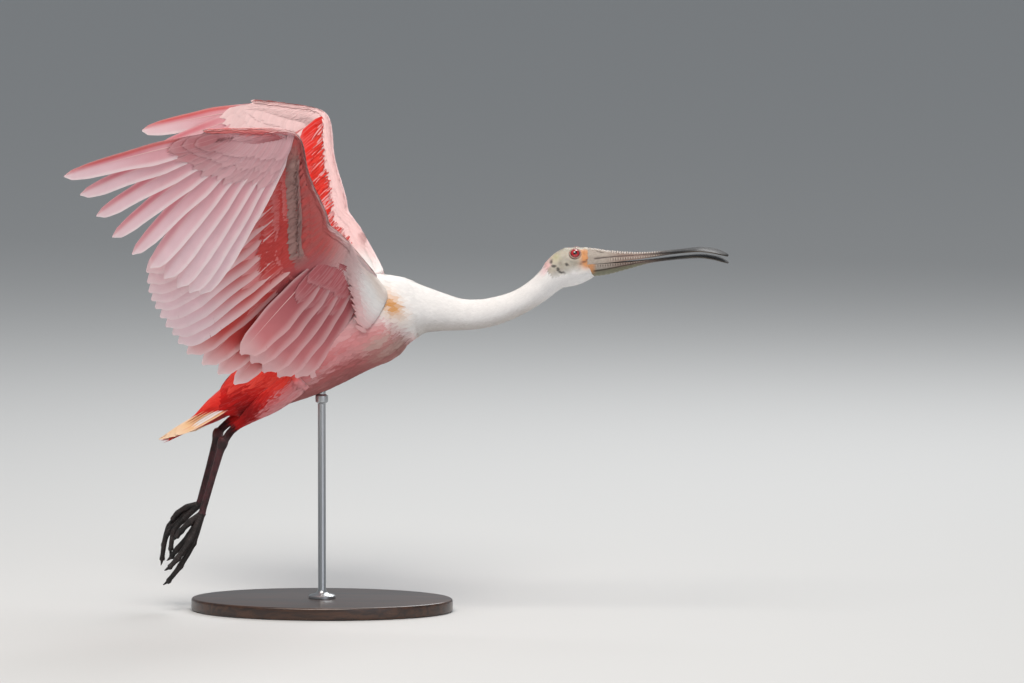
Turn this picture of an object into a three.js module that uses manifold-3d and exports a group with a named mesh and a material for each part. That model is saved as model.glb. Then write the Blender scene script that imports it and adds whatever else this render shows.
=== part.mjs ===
// A roseate spoonbill in flight, life size, held up by a plain display stand.
// Millimetres. +X runs towards the bill, +Y to the bird's left, +Z up.
// The origin lies on the floor, under the rod, at the middle of the base.
import * as THREE from "three";
import { mergeVertices } from "three/addons/utils/BufferGeometryUtils.js";
import Module from "manifold-3d";

const wasm = await Module();
wasm.setup();

const deg = Math.PI / 180;
const vec = (x, y, z) => new THREE.Vector3(x, y, z);

// Clearance that touching pieces keep.
const gap = 0.3;

// Stand: an oval base with a rod that ends in a socket in the belly.
const standBase = { length: 330, width: 230, height: 16, bevel: 2.5 };
const standRod = { radius: 5, top: 302, footRadius: 17, footHeight: 6, collarRadius: 8, collarAt: 262 };

// Trunk, neck and head, station by station: centre x and z, half height, half width.
const bodyPlan = [
  [-113, 265, 27, 27],
  [-84, 283, 38, 38],
  [-56, 302, 48, 46],
  [-15, 327, 57, 53],
  [31, 354, 60, 55],
  [74, 371.5, 58, 50],
  [99, 377.5, 47, 41],
  [118, 378, 36, 33],
  [131, 378, 29, 27],
  [149, 376.5, 24.5, 23],
  [174, 375, 21.3, 20],
  [200, 376.3, 20, 19],
  [225, 382, 18.6, 17.8],
  [250, 392, 17, 16.6],
  [272, 406, 17, 16.4],
  [288, 420, 17.8, 16.8],
  [297, 428, 21.5, 17.8],
  [309, 435, 24.6, 19.2],
  [323, 438.5, 23.4, 19.4],
  [335, 441, 20.6, 16.6],
  [343, 442.4, 18.2, 14.8],
];
const bodySides = 16;

// First and last station of each length of the body, and how many rings it takes.
const trunk = { from: 0, to: 8, rings: 15 };
const neck = { from: 8, to: 15, rings: 12 };
const head = { from: 15, to: 20, rings: 8 };

// Eyes: place of the right one, ball, and the ring of the lids round it.
const eye = { x: 320, y: -10.2, z: 452, radius: 8.5, lidRadius: 6.4, lidThickness: 1.7 };

// Bill, station by station: x, height of the mouth line, half width, height above it, depth below it.
const billPlan = [
  [334, 446, 15.4, 14.6, 18.4],
  [346, 446, 15.2, 13.6, 17.6],
  [362, 446, 14, 11, 15.6],
  [386, 447.5, 11.6, 7.6, 10.6],
  [412, 450, 10.2, 5.2, 5.4],
  [438, 453.5, 12, 4.4, 3.8],
  [460, 456.5, 18, 4.2, 3.6],
  [478, 458, 23.6, 4.2, 3.4],
  [494, 456.5, 25, 3.8, 3.2],
  [505, 453.6, 21, 3.2, 2.8],
  [512, 451, 11, 2.2, 2],
];
const billOpening = 2.4 * deg;
const nostril = { x: 356, z: 452.5, y: 8.2, length: 12, width: 2.2 };

// Tail: a short fleshy base, twelve tail feathers in a closed fan, and coverts above and below.
// The flesh is given by distance from the root, half width, and reach above and below the axis.
const tailRoot = vec(-106, 0, 268);
const tailSlope = 29.4 * deg;
const tailFlesh = [
  [-8, 24, 25, 22],
  [14, 22, 22, 17],
  [36, 17, 16, 11],
  [60, 10, 8, 6],
];
const tailFeathers = { pairs: 6, length: 112, width: 25, spread: 13, top: 10, bottom: -3, rise: -3.4, fall: 0.4 };
const upperTailCoverts = { pairs: 3, length: 68, width: 27, spread: 15, top: 19, bottom: 13, rise: -2.6, fall: -2.6 };
const lowerTailCoverts = { pairs: 3, length: 74, width: 27, spread: 13, top: -11, bottom: -17, rise: 4, fall: 8.5 };

// Right wing. The forearm's line and the underside's normal set the plane that the wing lies in,
// and angles in that plane turn from the forearm's line towards the trailing edge.
const shoulder = vec(62.5, -42, 417.3);
const elbow = vec(-14.1, -125, 462.3);
const forearmLine = vec(-0.034, -0.344, 0.944).normalize();
const underside = vec(0.597, -0.76, -0.256).projectOnPlane(forearmLine).normalize();
const rearward = underside.clone().cross(forearmLine).normalize();
const forearmLength = 154;
const handLength = 126;
const handAngle = 72 * deg;
const handDip = 5;
const armSides = 10;

// Fleshy arm: reach in front of the bone, reach behind it, and thickness.
const armFlesh = {
  root: [10, 30, 34],
  shoulder: [9, 32, 30],
  upperMiddle: [30, 18, 26],
  elbow: [47, 12, 21],
  forearmThird: [36, 11, 19],
  forearmTwoThirds: [21, 11, 17],
  wrist: [11, 10, 16],
  handMiddle: [14, 10, 14],
  handTip: [11, 6, 10],
};

// Rows of flight feathers. Each list runs from the first feather of the row to the last, and step is
// how far below the feather before it each one lies.
const primaries = {
  count: 10,
  angles: [140.2, 137.5, 132, 124, 111, 96, 81],
  lifts: [0, 1.1, 2, 2.7, 3.1, 3.3, 3.2],
  lengths: [219, 218, 210, 203, 203, 202, 214],
  widths: [34, 33, 32, 31, 30, 29, 27],
  tilt: 5.2 * deg,
  depth: 2,
  step: 0.95,
};
const secondaries = {
  count: 9,
  angles: [122.5, 121, 119.2, 119, 118.6],
  lifts: [-7.2, -7.5, -7.8, -8, -8.1],
  lengths: [238, 233, 221, 207, 190],
  widths: [33, 33, 32, 31, 30],
  tilt: 8 * deg,
  depth: -4,
  step: -0.95,
};
const tertials = {
  count: 4,
  angles: [122.1, 125.6, 128.8, 132.5],
  lifts: [-8.1, -8.2, -8.3, -8.4],
  lengths: [189, 190, 190, 191],
  widths: [30, 30, 30, 28],
  tilt: 3.8 * deg,
  depth: -4,
  step: -0.95,
};

// Coverts: side of the wing (1 is the underside), share of the length and of the width of the flight
// feathers that they lie on, and how far off them the root and the tip lie.
const greaterCovertsAbove = { side: -1, share: 0.44, widthShare: 0.9, rootOff: 1.9, tipOff: 2.4 };
const medianCovertsAbove = { side: -1, share: 0.26, widthShare: 0.88, rootOff: 3.6, tipOff: 4.6 };
const greaterCovertsBelow = { side: 1, share: 0.38, widthShare: 0.88, rootOff: 2.1, tipOff: 2.7 };
const medianCovertsBelow = { side: 1, share: 0.22, widthShare: 0.86, rootOff: 3.9, tipOff: 4.9 };
const primaryCovertsAbove = { side: -1, share: 0.4, widthShare: 0.8, rootOff: 2, tipOff: 4.2 };
const primaryCovertsBelow = { side: 1, share: 0.34, widthShare: 0.8, rootOff: 2.4, tipOff: 4.2 };

// Long feathers of the armpit, under the upper arm.
const axillaries = {
  count: 4,
  angles: [131, 138, 146],
  lifts: [-5, -7, -9],
  lengths: [150, 158, 140],
  widths: [36, 36, 30],
  tilt: 3.8 * deg,
  depth: 6,
  step: -0.95,
};
const alula = { count: 2, length: 56, width: 15 };

// Outline of a long feather and of a covert: share of the length, share of the width.
const longOutline = [[0, 0.28], [0.2, 0.86], [0.55, 1], [0.93, 0.8], [1, 0.26]];
const fingerOutline = [[0, 0.3], [0.16, 0.9], [0.42, 1.02], [0.62, 0.9], [0.92, 0.68], [1, 0.18]];
const shortOutline = [[0, 0.62], [0.66, 1], [1, 0.4]];
const tailOutline = [[0, 0.5], [0.5, 1], [0.9, 0.86], [1, 0.4]];
const vaneThickness = 0.5;
const shaftHeight = 0.35;

// Legs: centre lines of the right and the left one, and radii along them.
const rightLeg = {
  thigh: [vec(-24, -27, 300), vec(-60, -26, 270), vec(-88, -22, 248), vec(-109.4, -19, 231), vec(-122.6, -18, 213.7)],
  heel: vec(-123.4, -18, 212.6),
  ankle: vec(-150.2, -17, 122.3),
};
const leftLeg = {
  thigh: [vec(-24, 27, 300), vec(-62, 25, 272), vec(-97, 20, 250), vec(-122.5, 17, 233.2), vec(-132.6, 16, 221.6)],
  heel: vec(-133.4, 16, 220.6),
  ankle: vec(-157.1, 16, 131.1),
};
const thighRadii = [23, 19, 10.5, 5.4, 6.6];
const shankRadii = [6.8, 6.2, 4.5, 4.1, 4.2, 5.4, 5];

// Toes: length of each bone, its heading from straight down towards the tail, and how far it splays.
const rightToes = {
  middle: { bones: [38, 33, 24, 9], headings: [17, 29, 38, 46], splay: -1 },
  outer: { bones: [37, 26, 15, 8], headings: [24, 34, 42, 50], splay: -11 },
  inner: { bones: [32, 24, 13, 8], headings: [31, 41, 38, 44], splay: 9 },
  hind: { bones: [17, 17, 9, 7], headings: [56, 46, 38, 40], splay: 1 },
};
const leftToes = {
  middle: { bones: [28, 27, 33, 9], headings: [53, 43, 12, 4], splay: 1 },
  outer: { bones: [28, 22, 26, 8], headings: [59, 47, 18, 8], splay: 11 },
  inner: { bones: [27, 20, 22, 8], headings: [47, 37, 10, 2], splay: -9 },
  hind: { bones: [16, 14, 10, 7], headings: [76, 58, 40, 34], splay: -2 },
};
const toeRadii = [4.2, 3.2, 2.8, 2.3, 0.5];

// Materials: colour of the part, roughness, metalness.
const finish = (color, roughness, metalness = 0) => new THREE.MeshStandardMaterial({ color, roughness, metalness });
const whitePlumage = finish(0xf1ebe6, 0.85);
const pinkPlumage = finish(0xeea3a8, 0.8);
const scarletPlumage = finish(0xd63a32, 0.8);
const bareSkin = finish(0xc9cdb9, 0.6);
const hornGrey = finish(0x9da196, 0.5);
const eyeRed = finish(0xa3122a, 0.15);
const legSkin = finish(0x452a2c, 0.55);
const standPaint = finish(0x2b2b2d, 0.45);
const standSteel = finish(0x8e9092, 0.35, 1);

// A solid from corner positions and triangles, turned so that its faces point out.
function solidFrom(positions, faces) {
  const build = (triangles) =>
    new wasm.Manifold(
      new wasm.Mesh({
        numProp: 3,
        vertProperties: Float32Array.from(positions),
        triVerts: Uint32Array.from(triangles),
      }),
    );
  const made = build(faces);
  return made.volume() > 0 ? made : build([...faces].reverse());
}

function solidOf(geometry) {
  const bare = geometry.clone();
  bare.deleteAttribute("normal");
  bare.deleteAttribute("uv");
  const merged = mergeVertices(bare, 1e-3);
  return solidFrom(merged.getAttribute("position").array, merged.index.array);
}

// One closed solid through rings of points that all have the same count, flat at both ends.
// The second half of each ring splits its quads the other way, so that both faces of a vane match.
function loft(rings) {
  const count = rings[0].length;
  const faces = [];
  for (let row = 0; row < rings.length - 1; row++) {
    for (let k = 0; k < count; k++) {
      const near = row * count + k;
      const next = row * count + ((k + 1) % count);
      if (k < count / 2) faces.push(near, next, next + count, near, next + count, near + count);
      else faces.push(near, next, near + count, next, next + count, near + count);
    }
  }
  const last = (rings.length - 1) * count;
  for (let k = 1; k < count - 1; k++) {
    faces.push(0, k + 1, k);
    faces.push(last, last + k, last + k + 1);
  }
  return solidFrom(rings.flat().flatMap((point) => point.toArray()), faces);
}

function largest(solid) {
  return solid.decompose().sort((a, b) => b.volume() - a.volume())[0];
}

function join(pieces) {
  return wasm.Manifold.union(pieces);
}

// The value at share q of the way along a list, by a smooth curve through the list.
function valueAt(list, q) {
  return new THREE.SplineCurve(list.map((value, i) => new THREE.Vector2(i, value))).getPoint(q).y;
}

function meshOf(name, solid, material) {
  const { vertProperties, triVerts } = largest(solid).getMesh();
  const geometry = new THREE.BufferGeometry();
  geometry.setAttribute("position", new THREE.BufferAttribute(vertProperties, 3));
  geometry.setIndex(new THREE.BufferAttribute(triVerts, 1));
  geometry.computeVertexNormals();
  const mesh = new THREE.Mesh(geometry, material);
  mesh.name = name;
  return mesh;
}

// An oval ring of points round a centre, across two unit directions.
function ovalRing(centre, across, up, halfWidth, halfHeight, sides) {
  return Array.from({ length: sides }, (_, k) => {
    const angle = (k / sides) * 2 * Math.PI;
    return centre
      .clone()
      .addScaledVector(across, halfWidth * Math.cos(angle))
      .addScaledVector(up, halfHeight * Math.sin(angle));
  });
}

// A length of the body. It starts and ends square to the body's own line.
function bodyPiece({ from, to, rings }, grow = 0, startGap = 0) {
  const centres = new THREE.CatmullRomCurve3(bodyPlan.map(([x, z]) => vec(x, 0, z)));
  const sizes = new THREE.CatmullRomCurve3(bodyPlan.map(([, , high, wide]) => vec(high, wide, 0)));
  const side = vec(0, 1, 0);
  return loft(
    Array.from({ length: rings + 1 }, (_, i) => {
      const t = (from + ((to - from) * i) / rings) / (bodyPlan.length - 1);
      const line = centres.getTangent(t);
      const shift = i === 0 ? startGap - grow : i === rings ? grow : 0;
      const centre = centres.getPoint(t).addScaledVector(line, shift);
      const size = sizes.getPoint(t);
      return ovalRing(centre, side, line.clone().cross(side), size.y + grow, size.x + grow, bodySides);
    }),
  );
}

// A round limb through points, with a radius at each.
function limb(points, radii, sides, grow = 0) {
  const rings = points.map((point, i) => {
    const line = points[Math.min(i + 1, points.length - 1)].clone().sub(points[Math.max(i - 1, 0)]).normalize();
    const across = vec(0, 1, 0).projectOnPlane(line).normalize();
    const shift = i === 0 ? -grow : i === points.length - 1 ? grow : 0;
    const centre = point.clone().addScaledVector(line, shift);
    return ovalRing(centre, across, line.clone().cross(across), radii[i] + grow, radii[i] + grow, sides);
  });
  return loft(rings);
}

// A feather: a thin vane from its root along a line, widened across it, with a raised shaft below
// if it is a long one. It bows towards its front edge.
function feather({ root, line, across, length, width, outline, front = 0.5, bow = 0, shaft = 0, grow = 0 }) {
  const under = across.clone().cross(line).normalize();
  const half = vaneThickness / 2 + grow;
  const rings = outline.map(([t, share], i) => {
    const end = i === 0 ? -grow : i === outline.length - 1 ? grow : 0;
    const centre = root
      .clone()
      .addScaledVector(line, t * length + end)
      .addScaledVector(across, 4 * bow * (t - t * t) * length);
    const at = (sideways, down) => centre.clone().addScaledVector(across, sideways).addScaledVector(under, down);
    const outer = width * share * front + grow;
    const inner = -width * share * (1 - front) - grow;
    if (!shaft) return [at(outer, half), at(inner, half), at(inner, -half), at(outer, -half)];
    return [
      at(outer, half),
      at(0, half + shaft * (1 - 0.8 * t)),
      at(inner, half),
      at(inner, -half),
      at(outer, -half),
    ];
  });
  return loft(rings);
}

// A point of the right wing: along the forearm's line, towards the trailing edge, and to the underside.
function inWing(along, back, below) {
  return elbow
    .clone()
    .addScaledVector(forearmLine, along)
    .addScaledVector(rearward, back)
    .addScaledVector(underside, below);
}

const shoulderOffset = shoulder.clone().sub(elbow);
const wingShoulder = [
  shoulderOffset.dot(forearmLine),
  shoulderOffset.dot(rearward),
  shoulderOffset.dot(underside),
];
const handHeading = [Math.cos(handAngle), Math.sin(handAngle)];
const wingElbow = [0, 0, 0];
const wingWrist = [forearmLength, 0, 0];
const wingHandTip = [forearmLength + handLength * handHeading[0], handLength * handHeading[1], handDip];
const between = (a, b, t) => a.map((value, i) => value + (b[i] - value) * t);

// A ring round the arm's bone. The bone's heading there is an angle in the wing's plane.
function armRing([along, back, below], heading, [ahead, behind, thickness], grow, shift = 0) {
  const bone = inWing(along + shift * Math.cos(heading), back + shift * Math.sin(heading), below);
  const ahead3 = inWing(Math.sin(heading), -Math.cos(heading), 0).sub(elbow);
  const centre = bone.addScaledVector(ahead3, (ahead - behind) / 2);
  return ovalRing(centre, ahead3, underside, (ahead + behind) / 2 + grow, thickness / 2 + grow, armSides);
}

const humerusHeading = Math.atan2(-wingShoulder[1], -wingShoulder[0]);

function upperArmFlesh(grow = 0) {
  const inside = shoulder.clone().add(vec(2, 24, -3)).sub(elbow);
  const insidePlace = [inside.dot(forearmLine), inside.dot(rearward), inside.dot(underside)];
  return loft([
    armRing(insidePlace, humerusHeading, armFlesh.root, grow),
    armRing(wingShoulder, humerusHeading, armFlesh.shoulder, grow),
    armRing(between(wingShoulder, wingElbow, 0.5), humerusHeading, armFlesh.upperMiddle, grow),
    armRing(wingElbow, humerusHeading / 2, armFlesh.elbow, grow, grow - gap / 2),
  ]);
}

function forearmFlesh(grow = 0) {
  return loft([
    armRing(wingElbow, humerusHeading / 2, armFlesh.elbow, grow, gap / 2 - grow),
    armRing(between(wingElbow, wingWrist, 0.33), 0, armFlesh.forearmThird, grow),
    armRing(between(wingElbow, wingWrist, 0.67), 0, armFlesh.forearmTwoThirds, grow),
    armRing(wingWrist, handAngle / 2, armFlesh.wrist, grow, grow - gap / 2),
  ]);
}

function handFlesh(grow = 0) {
  return loft([
    armRing(wingWrist, handAngle / 2, armFlesh.wrist, grow, gap / 2 - grow),
    armRing(between(wingWrist, wingHandTip, 0.5), handAngle, armFlesh.handMiddle, grow),
    armRing(wingHandTip, handAngle, armFlesh.handTip, grow, grow),
  ]);
}

// Where a row's feathers are rooted, from its first feather to its last.
const rootLines = {
  hand: (q) => between(wingWrist, wingHandTip, 0.05 + 0.92 * q),
  forearm: (q) => between(wingWrist, wingElbow, 0.04 + 0.93 * q),
  upper: (q) => between(wingElbow, wingShoulder, 0.05 + 0.44 * q),
  armpit: (q) => between(wingElbow, wingShoulder, 0.42 + 0.5 * q),
};

// Where the flight feathers of a row lie. Each is tilted about its shaft, its front edge away from the
// underside, so that it lies under the front edge of the feather nearer to the body.
function layOut(row, rootLine) {
  const laid = [];
  for (let i = 0; i < row.count; i++) {
    const q = i / (row.count - 1);
    const angle = valueAt(row.angles, q) * deg;
    const lift = valueAt(row.lifts, q) * deg;
    const [along, back, below] = rootLine(q);
    const root = inWing(along, back, below + row.depth);
    const line = inWing(Math.cos(angle) * Math.cos(lift), Math.sin(angle) * Math.cos(lift), Math.sin(lift)).sub(elbow);
    const ahead = inWing(Math.sin(angle), -Math.cos(angle), 0).sub(elbow);
    const across = ahead.multiplyScalar(Math.cos(row.tilt)).addScaledVector(underside, -Math.sin(row.tilt));
    across.projectOnPlane(line).normalize();
    const under = across.clone().cross(line);
    if (i > 0) root.addScaledVector(underside, row.step - root.clone().sub(laid[i - 1].root).dot(laid[i - 1].under));
    const finger = row === primaries && q > 0.6;
    laid.push({ root, line, across, under, length: valueAt(row.lengths, q), width: valueAt(row.widths, q), finger });
  }
  return laid;
}

function flightFeathers(laid, grow) {
  const sink = 5;
  return laid.map(({ root, line, across, length, width, finger }) =>
    feather({
      root: root.clone().addScaledVector(line, -sink),
      line,
      across,
      length: length + sink,
      width,
      outline: finger ? fingerOutline : longOutline,
      front: 0.38,
      bow: 0.012,
      shaft: shaftHeight,
      grow,
    }),
  );
}

// A row of coverts, one on each flight feather of the row that they lie along.
function coverts(laid, { side, share, widthShare, rootOff, tipOff }, grow) {
  const sink = 2;
  return laid.map(({ root, line, across, under, length, width }) => {
    const reach = length * share + sink;
    return feather({
      root: root.clone().addScaledVector(line, -sink).addScaledVector(under, side * rootOff),
      line: line.clone().addScaledVector(under, (side * (tipOff - rootOff)) / reach).normalize(),
      across,
      length: reach,
      width: width * widthShare,
      outline: shortOutline,
      grow,
    });
  });
}

function alulaFeathers(grow) {
  return Array.from({ length: alula.count }, (_, i) => {
    const line = inWing(Math.cos(88 * deg), Math.sin(88 * deg), -0.03).sub(elbow).normalize();
    const across = inWing(1, -0.3, -0.25).sub(elbow).projectOnPlane(line).normalize();
    return feather({
      root: inWing(forearmLength + 6 + 4 * i, 2 + 8 * i, -2.6 * (1 - i) - 2),
      line,
      across,
      length: alula.length * (0.8 + 0.2 * i),
      width: alula.width,
      outline: shortOutline,
      grow,
    });
  });
}

const laidPrimaries = layOut(primaries, rootLines.hand);
const laidSecondaries = layOut(secondaries, rootLines.forearm);
const laidTertials = layOut(tertials, rootLines.upper);
const laidAxillaries = layOut(axillaries, rootLines.armpit);

function forearmPart(grow = 0) {
  return join([
    forearmFlesh(grow),
    ...flightFeathers(laidSecondaries, grow),
    ...coverts(laidSecondaries, greaterCovertsAbove, grow),
    ...coverts(laidSecondaries, medianCovertsAbove, grow),
    ...coverts(laidSecondaries, greaterCovertsBelow, grow),
    ...coverts(laidSecondaries, medianCovertsBelow, grow),
  ]);
}

function handPart(grow = 0) {
  return join([
    handFlesh(grow),
    ...flightFeathers(laidPrimaries, grow),
    ...coverts(laidPrimaries, primaryCovertsAbove, grow),
    ...coverts(laidPrimaries, primaryCovertsBelow, grow),
    ...alulaFeathers(grow),
  ]);
}

function upperArmPart(grow = 0) {
  return join([
    upperArmFlesh(grow),
    ...flightFeathers(laidTertials, grow),
    ...coverts(laidTertials, greaterCovertsAbove, grow),
    ...coverts(laidTertials, medianCovertsAbove, grow),
    ...flightFeathers(laidAxillaries, grow),
  ]);
}

// The three solids of the right wing, each clear of its neighbours and of the trunk.
function wingSolids(trunkClear) {
  const forearm = forearmPart();
  const forearmClear = forearmPart(gap);
  const upperArm = largest(upperArmPart().subtract(forearmClear).subtract(trunkClear));
  const hand = largest(handPart().subtract(forearmClear));
  return { upperArm, forearm, hand };
}

function wing(sideName, solids) {
  const group = new THREE.Group();
  group.add(meshOf(`wing_upperarm_${sideName}`, solids.upperArm, pinkPlumage));
  group.add(meshOf(`wing_forearm_${sideName}`, solids.forearm, pinkPlumage));
  group.add(meshOf(`wing_hand_${sideName}`, solids.hand, pinkPlumage));
  return group;
}

// Tail feathers or coverts, in pairs from the middle pair, on top, to the outer pair.
function tailFan({ pairs, length, width, spread, top, bottom, rise, fall }, outline, back, up, grow) {
  const side = vec(0, 1, 0);
  return [1, -1].flatMap((hand) =>
    Array.from({ length: pairs }, (_, i) => {
      const q = i / (pairs - 1);
      const turn = hand * spread * deg * ((i + 0.5) / pairs);
      const lift = (rise + (fall - rise) * q) * deg;
      const level = top + (bottom - top) * ((i + (hand > 0 ? 0.5 : 0)) / (pairs - 0.5));
      const flat = back.clone().multiplyScalar(Math.cos(turn)).addScaledVector(side, Math.sin(turn));
      const line = flat.multiplyScalar(Math.cos(lift)).addScaledVector(up, Math.sin(lift));
      return feather({
        root: tailRoot.clone().addScaledVector(side, hand * (2 + (9 * i) / pairs)).addScaledVector(up, level),
        line,
        across: vec(0, -1, 0).projectOnPlane(line).normalize(),
        length: length * (1 - 0.3 * (i / 12) ** 2),
        width,
        outline,
        grow,
      });
    }),
  );
}

function tailPart(grow = 0) {
  const back = vec(-Math.cos(tailSlope), 0, -Math.sin(tailSlope));
  const up = vec(-Math.sin(tailSlope), 0, Math.cos(tailSlope));
  const flesh = loft(
    tailFlesh.map(([distance, wide, above, below]) => {
      const centre = tailRoot.clone().addScaledVector(back, distance).addScaledVector(up, (above - below) / 2);
      return ovalRing(centre, vec(0, 1, 0), up, wide + grow, (above + below) / 2 + grow, 12);
    }),
  );
  return join([
    flesh,
    ...tailFan(tailFeathers, tailOutline, back, up, grow),
    ...tailFan(upperTailCoverts, shortOutline, back, up, grow),
    ...tailFan(lowerTailCoverts, shortOutline, back, up, grow),
  ]);
}

function sphere(centre, radius, around, up) {
  return solidOf(new THREE.SphereGeometry(radius, around, up).translate(centre.x, centre.y, centre.z));
}

function headSolid() {
  let skull = bodyPiece(head, 0, gap);
  for (const hand of [1, -1]) {
    const place = vec(eye.x, hand * eye.y, eye.z);
    const lids = new THREE.TorusGeometry(eye.lidRadius, eye.lidThickness, 4, 10);
    lids.rotateX(Math.PI / 2 + hand * 26 * deg);
    lids.translate(place.x, place.y + hand * -5.4, place.z + 2.4);
    skull = skull.add(solidOf(lids)).subtract(sphere(place, eye.radius + gap, 11, 7));
    const ear = new THREE.SphereGeometry(3, 7, 5).scale(1.3, 1.2, 0.8);
    skull = skull.subtract(solidOf(ear.translate(302, hand * -18.6, 440)));
    const corner = new THREE.BoxGeometry(16, 8, 1).translate(338, hand * -16.5, 446);
    skull = skull.subtract(solidOf(corner));
  }
  return skull;
}

// One half of the bill: the upper if half is 1, the lower if it is -1.
function billHalf(half) {
  const rings = billPlan.map(([x, mouth, wide, above, below]) => {
    const high = half > 0 ? above : below;
    const at = (share, up) => vec(x, wide * share, mouth + half * (gap / 2 + up));
    return [
      at(1, 0),
      at(0.96, 0.34 * high),
      at(0.66, 0.8 * high),
      at(0.24, high),
      at(-0.24, high),
      at(-0.66, 0.8 * high),
      at(-0.96, 0.34 * high),
      at(-1, 0),
    ];
  });
  return loft(rings);
}

function upperBill(headClear) {
  let bill = billHalf(1);
  for (const hand of [1, -1]) {
    const slot = new THREE.SphereGeometry(0.5, 8, 6).scale(nostril.length, nostril.width, 6);
    slot.rotateY(8 * deg).translate(nostril.x, hand * nostril.y, nostril.z + 4);
    bill = bill.subtract(solidOf(slot));
  }
  return bill.subtract(headClear);
}

function lowerBill(headClear) {
  const [hinge, mouth] = billPlan[1];
  const { vertProperties, triVerts } = billHalf(-1).getMesh();
  const geometry = new THREE.BufferGeometry();
  geometry.setAttribute("position", new THREE.BufferAttribute(vertProperties, 3));
  geometry.setIndex(new THREE.BufferAttribute(triVerts, 1));
  geometry.translate(-hinge, 0, -mouth).rotateY(billOpening).translate(hinge, 0, mouth);
  return solidOf(geometry).subtract(headClear);
}

function toe(start, { bones, headings, splay }, grow = 0) {
  const points = [start.clone()];
  bones.forEach((bone, i) => {
    const heading = headings[i] * deg;
    const step = vec(-Math.sin(heading), Math.sin(splay * deg), -Math.cos(heading)).normalize();
    points.push(points[i].clone().addScaledVector(step, bone));
  });
  return { points, solid: limb(points, toeRadii, 6, grow) };
}

// A thin web between the first bones of two toes.
function web(a, b) {
  const corners = [a.points[0], a.points[1], b.points[1], b.points[0]];
  const middle = corners[0].clone().add(corners[3]).multiplyScalar(0.5);
  const normal = corners[1].clone().sub(middle).cross(corners[2].clone().sub(middle)).normalize();
  const dip = corners[1].clone().add(corners[2]).multiplyScalar(0.5).lerp(middle, 0.35);
  const outline = [middle, corners[1], dip, corners[2]];
  return loft([-0.5, 0.5].map((side) => outline.map((point) => point.clone().addScaledVector(normal, side))));
}

function footSolid(leg, toes) {
  const start = leg.ankle.clone();
  const made = Object.fromEntries(Object.entries(toes).map(([name, plan]) => [name, toe(start, plan)]));
  return join([
    sphere(start.clone().add(vec(0, 0, -0.5)), 5.4, 8, 6),
    ...Object.values(made).map((one) => one.solid),
    web(made.middle, made.outer),
    web(made.middle, made.inner),
  ]);
}

function legMeshes(sideName, leg, toes, trunkClear, tailClear) {
  const shankLine = leg.ankle.clone().sub(leg.heel).normalize();
  const shankPoints = [-5, 1, 10, 45, 88, 98, 104].map((s) =>
    leg.heel.clone().addScaledVector(shankLine, Math.min(s, leg.heel.distanceTo(leg.ankle) - 1)),
  );
  const count = shankPoints.filter((point, i) => i === 0 || point.distanceTo(shankPoints[i - 1]) > 1).length;
  const shank = limb(shankPoints.slice(0, count), shankRadii.slice(0, count), 10);
  const shankClear = limb(shankPoints.slice(0, count), shankRadii.slice(0, count), 10, gap);
  const thigh = limb(leg.thigh, thighRadii, 12).subtract(trunkClear).subtract(tailClear).subtract(shankClear);
  const foot = footSolid(leg, toes).subtract(shankClear);
  const group = new THREE.Group();
  group.add(meshOf(`leg_upper_${sideName}`, thigh, pinkPlumage));
  group.add(meshOf(`leg_lower_${sideName}`, shank, legSkin));
  group.add(meshOf(`foot_${sideName}`, foot, legSkin));
  return group;
}

function standBaseMesh() {
  const { length, width, height, bevel } = standBase;
  const outline = new THREE.Shape();
  outline.absellipse(0, 0, length / 2 - bevel, width / 2 - bevel, 0, 2 * Math.PI, false, 0);
  const plate = new THREE.ExtrudeGeometry(outline, {
    depth: height - 2 * bevel,
    bevelThickness: bevel,
    bevelSize: bevel,
    bevelSegments: 1,
    curveSegments: 18,
  });
  return meshOf("stand_base", solidOf(plate.translate(0, 0, bevel)), standPaint);
}

function rodSolid(grow = 0) {
  const { radius, top, footRadius, footHeight, collarRadius, collarAt } = standRod;
  const foot = standBase.height + gap - grow;
  const profile = [
    [0, foot],
    [footRadius + grow, foot],
    [footRadius + grow, foot + footHeight / 2],
    [radius + 3 + grow, foot + footHeight],
    [radius + grow, foot + footHeight + 4],
    [radius + grow, collarAt],
    [collarRadius + grow, collarAt + 2],
    [collarRadius + grow, collarAt + 8],
    [radius + grow, collarAt + 10],
    [radius + grow, top + grow],
    [0, top + grow],
  ];
  const turned = new THREE.LatheGeometry(profile.map(([r, z]) => new THREE.Vector2(r, z)), 14);
  return solidOf(turned.rotateX(Math.PI / 2));
}

const spoonbill = new THREE.Group();

const trunkSolid = bodyPiece(trunk).subtract(rodSolid(gap));
const trunkClear = bodyPiece(trunk, gap);
const headClear = bodyPiece(head, gap);
const tailSolid = largest(tailPart().subtract(trunkClear));
const tailClear = tailPart(gap);

spoonbill.add(meshOf("torso", trunkSolid, pinkPlumage));
spoonbill.add(meshOf("neck", bodyPiece(neck, 0, gap), whitePlumage));
spoonbill.add(meshOf("head", headSolid(), bareSkin));
spoonbill.add(meshOf("bill_upper", upperBill(headClear), hornGrey));
spoonbill.add(meshOf("bill_lower", lowerBill(headClear), hornGrey));
spoonbill.add(meshOf("eye_right", sphere(vec(eye.x, eye.y, eye.z), eye.radius, 11, 7), eyeRed));
spoonbill.add(meshOf("eye_left", sphere(vec(eye.x, -eye.y, eye.z), eye.radius, 11, 7), eyeRed));
spoonbill.add(meshOf("tail", tailSolid, scarletPlumage));

const solids = wingSolids(trunkClear);
const leftWing = wing("left", solids);
leftWing.scale.y = -1;
spoonbill.add(wing("right", solids));
spoonbill.add(leftWing);

spoonbill.add(legMeshes("right", rightLeg, rightToes, trunkClear, tailClear));
spoonbill.add(legMeshes("left", leftLeg, leftToes, trunkClear, tailClear));

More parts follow.
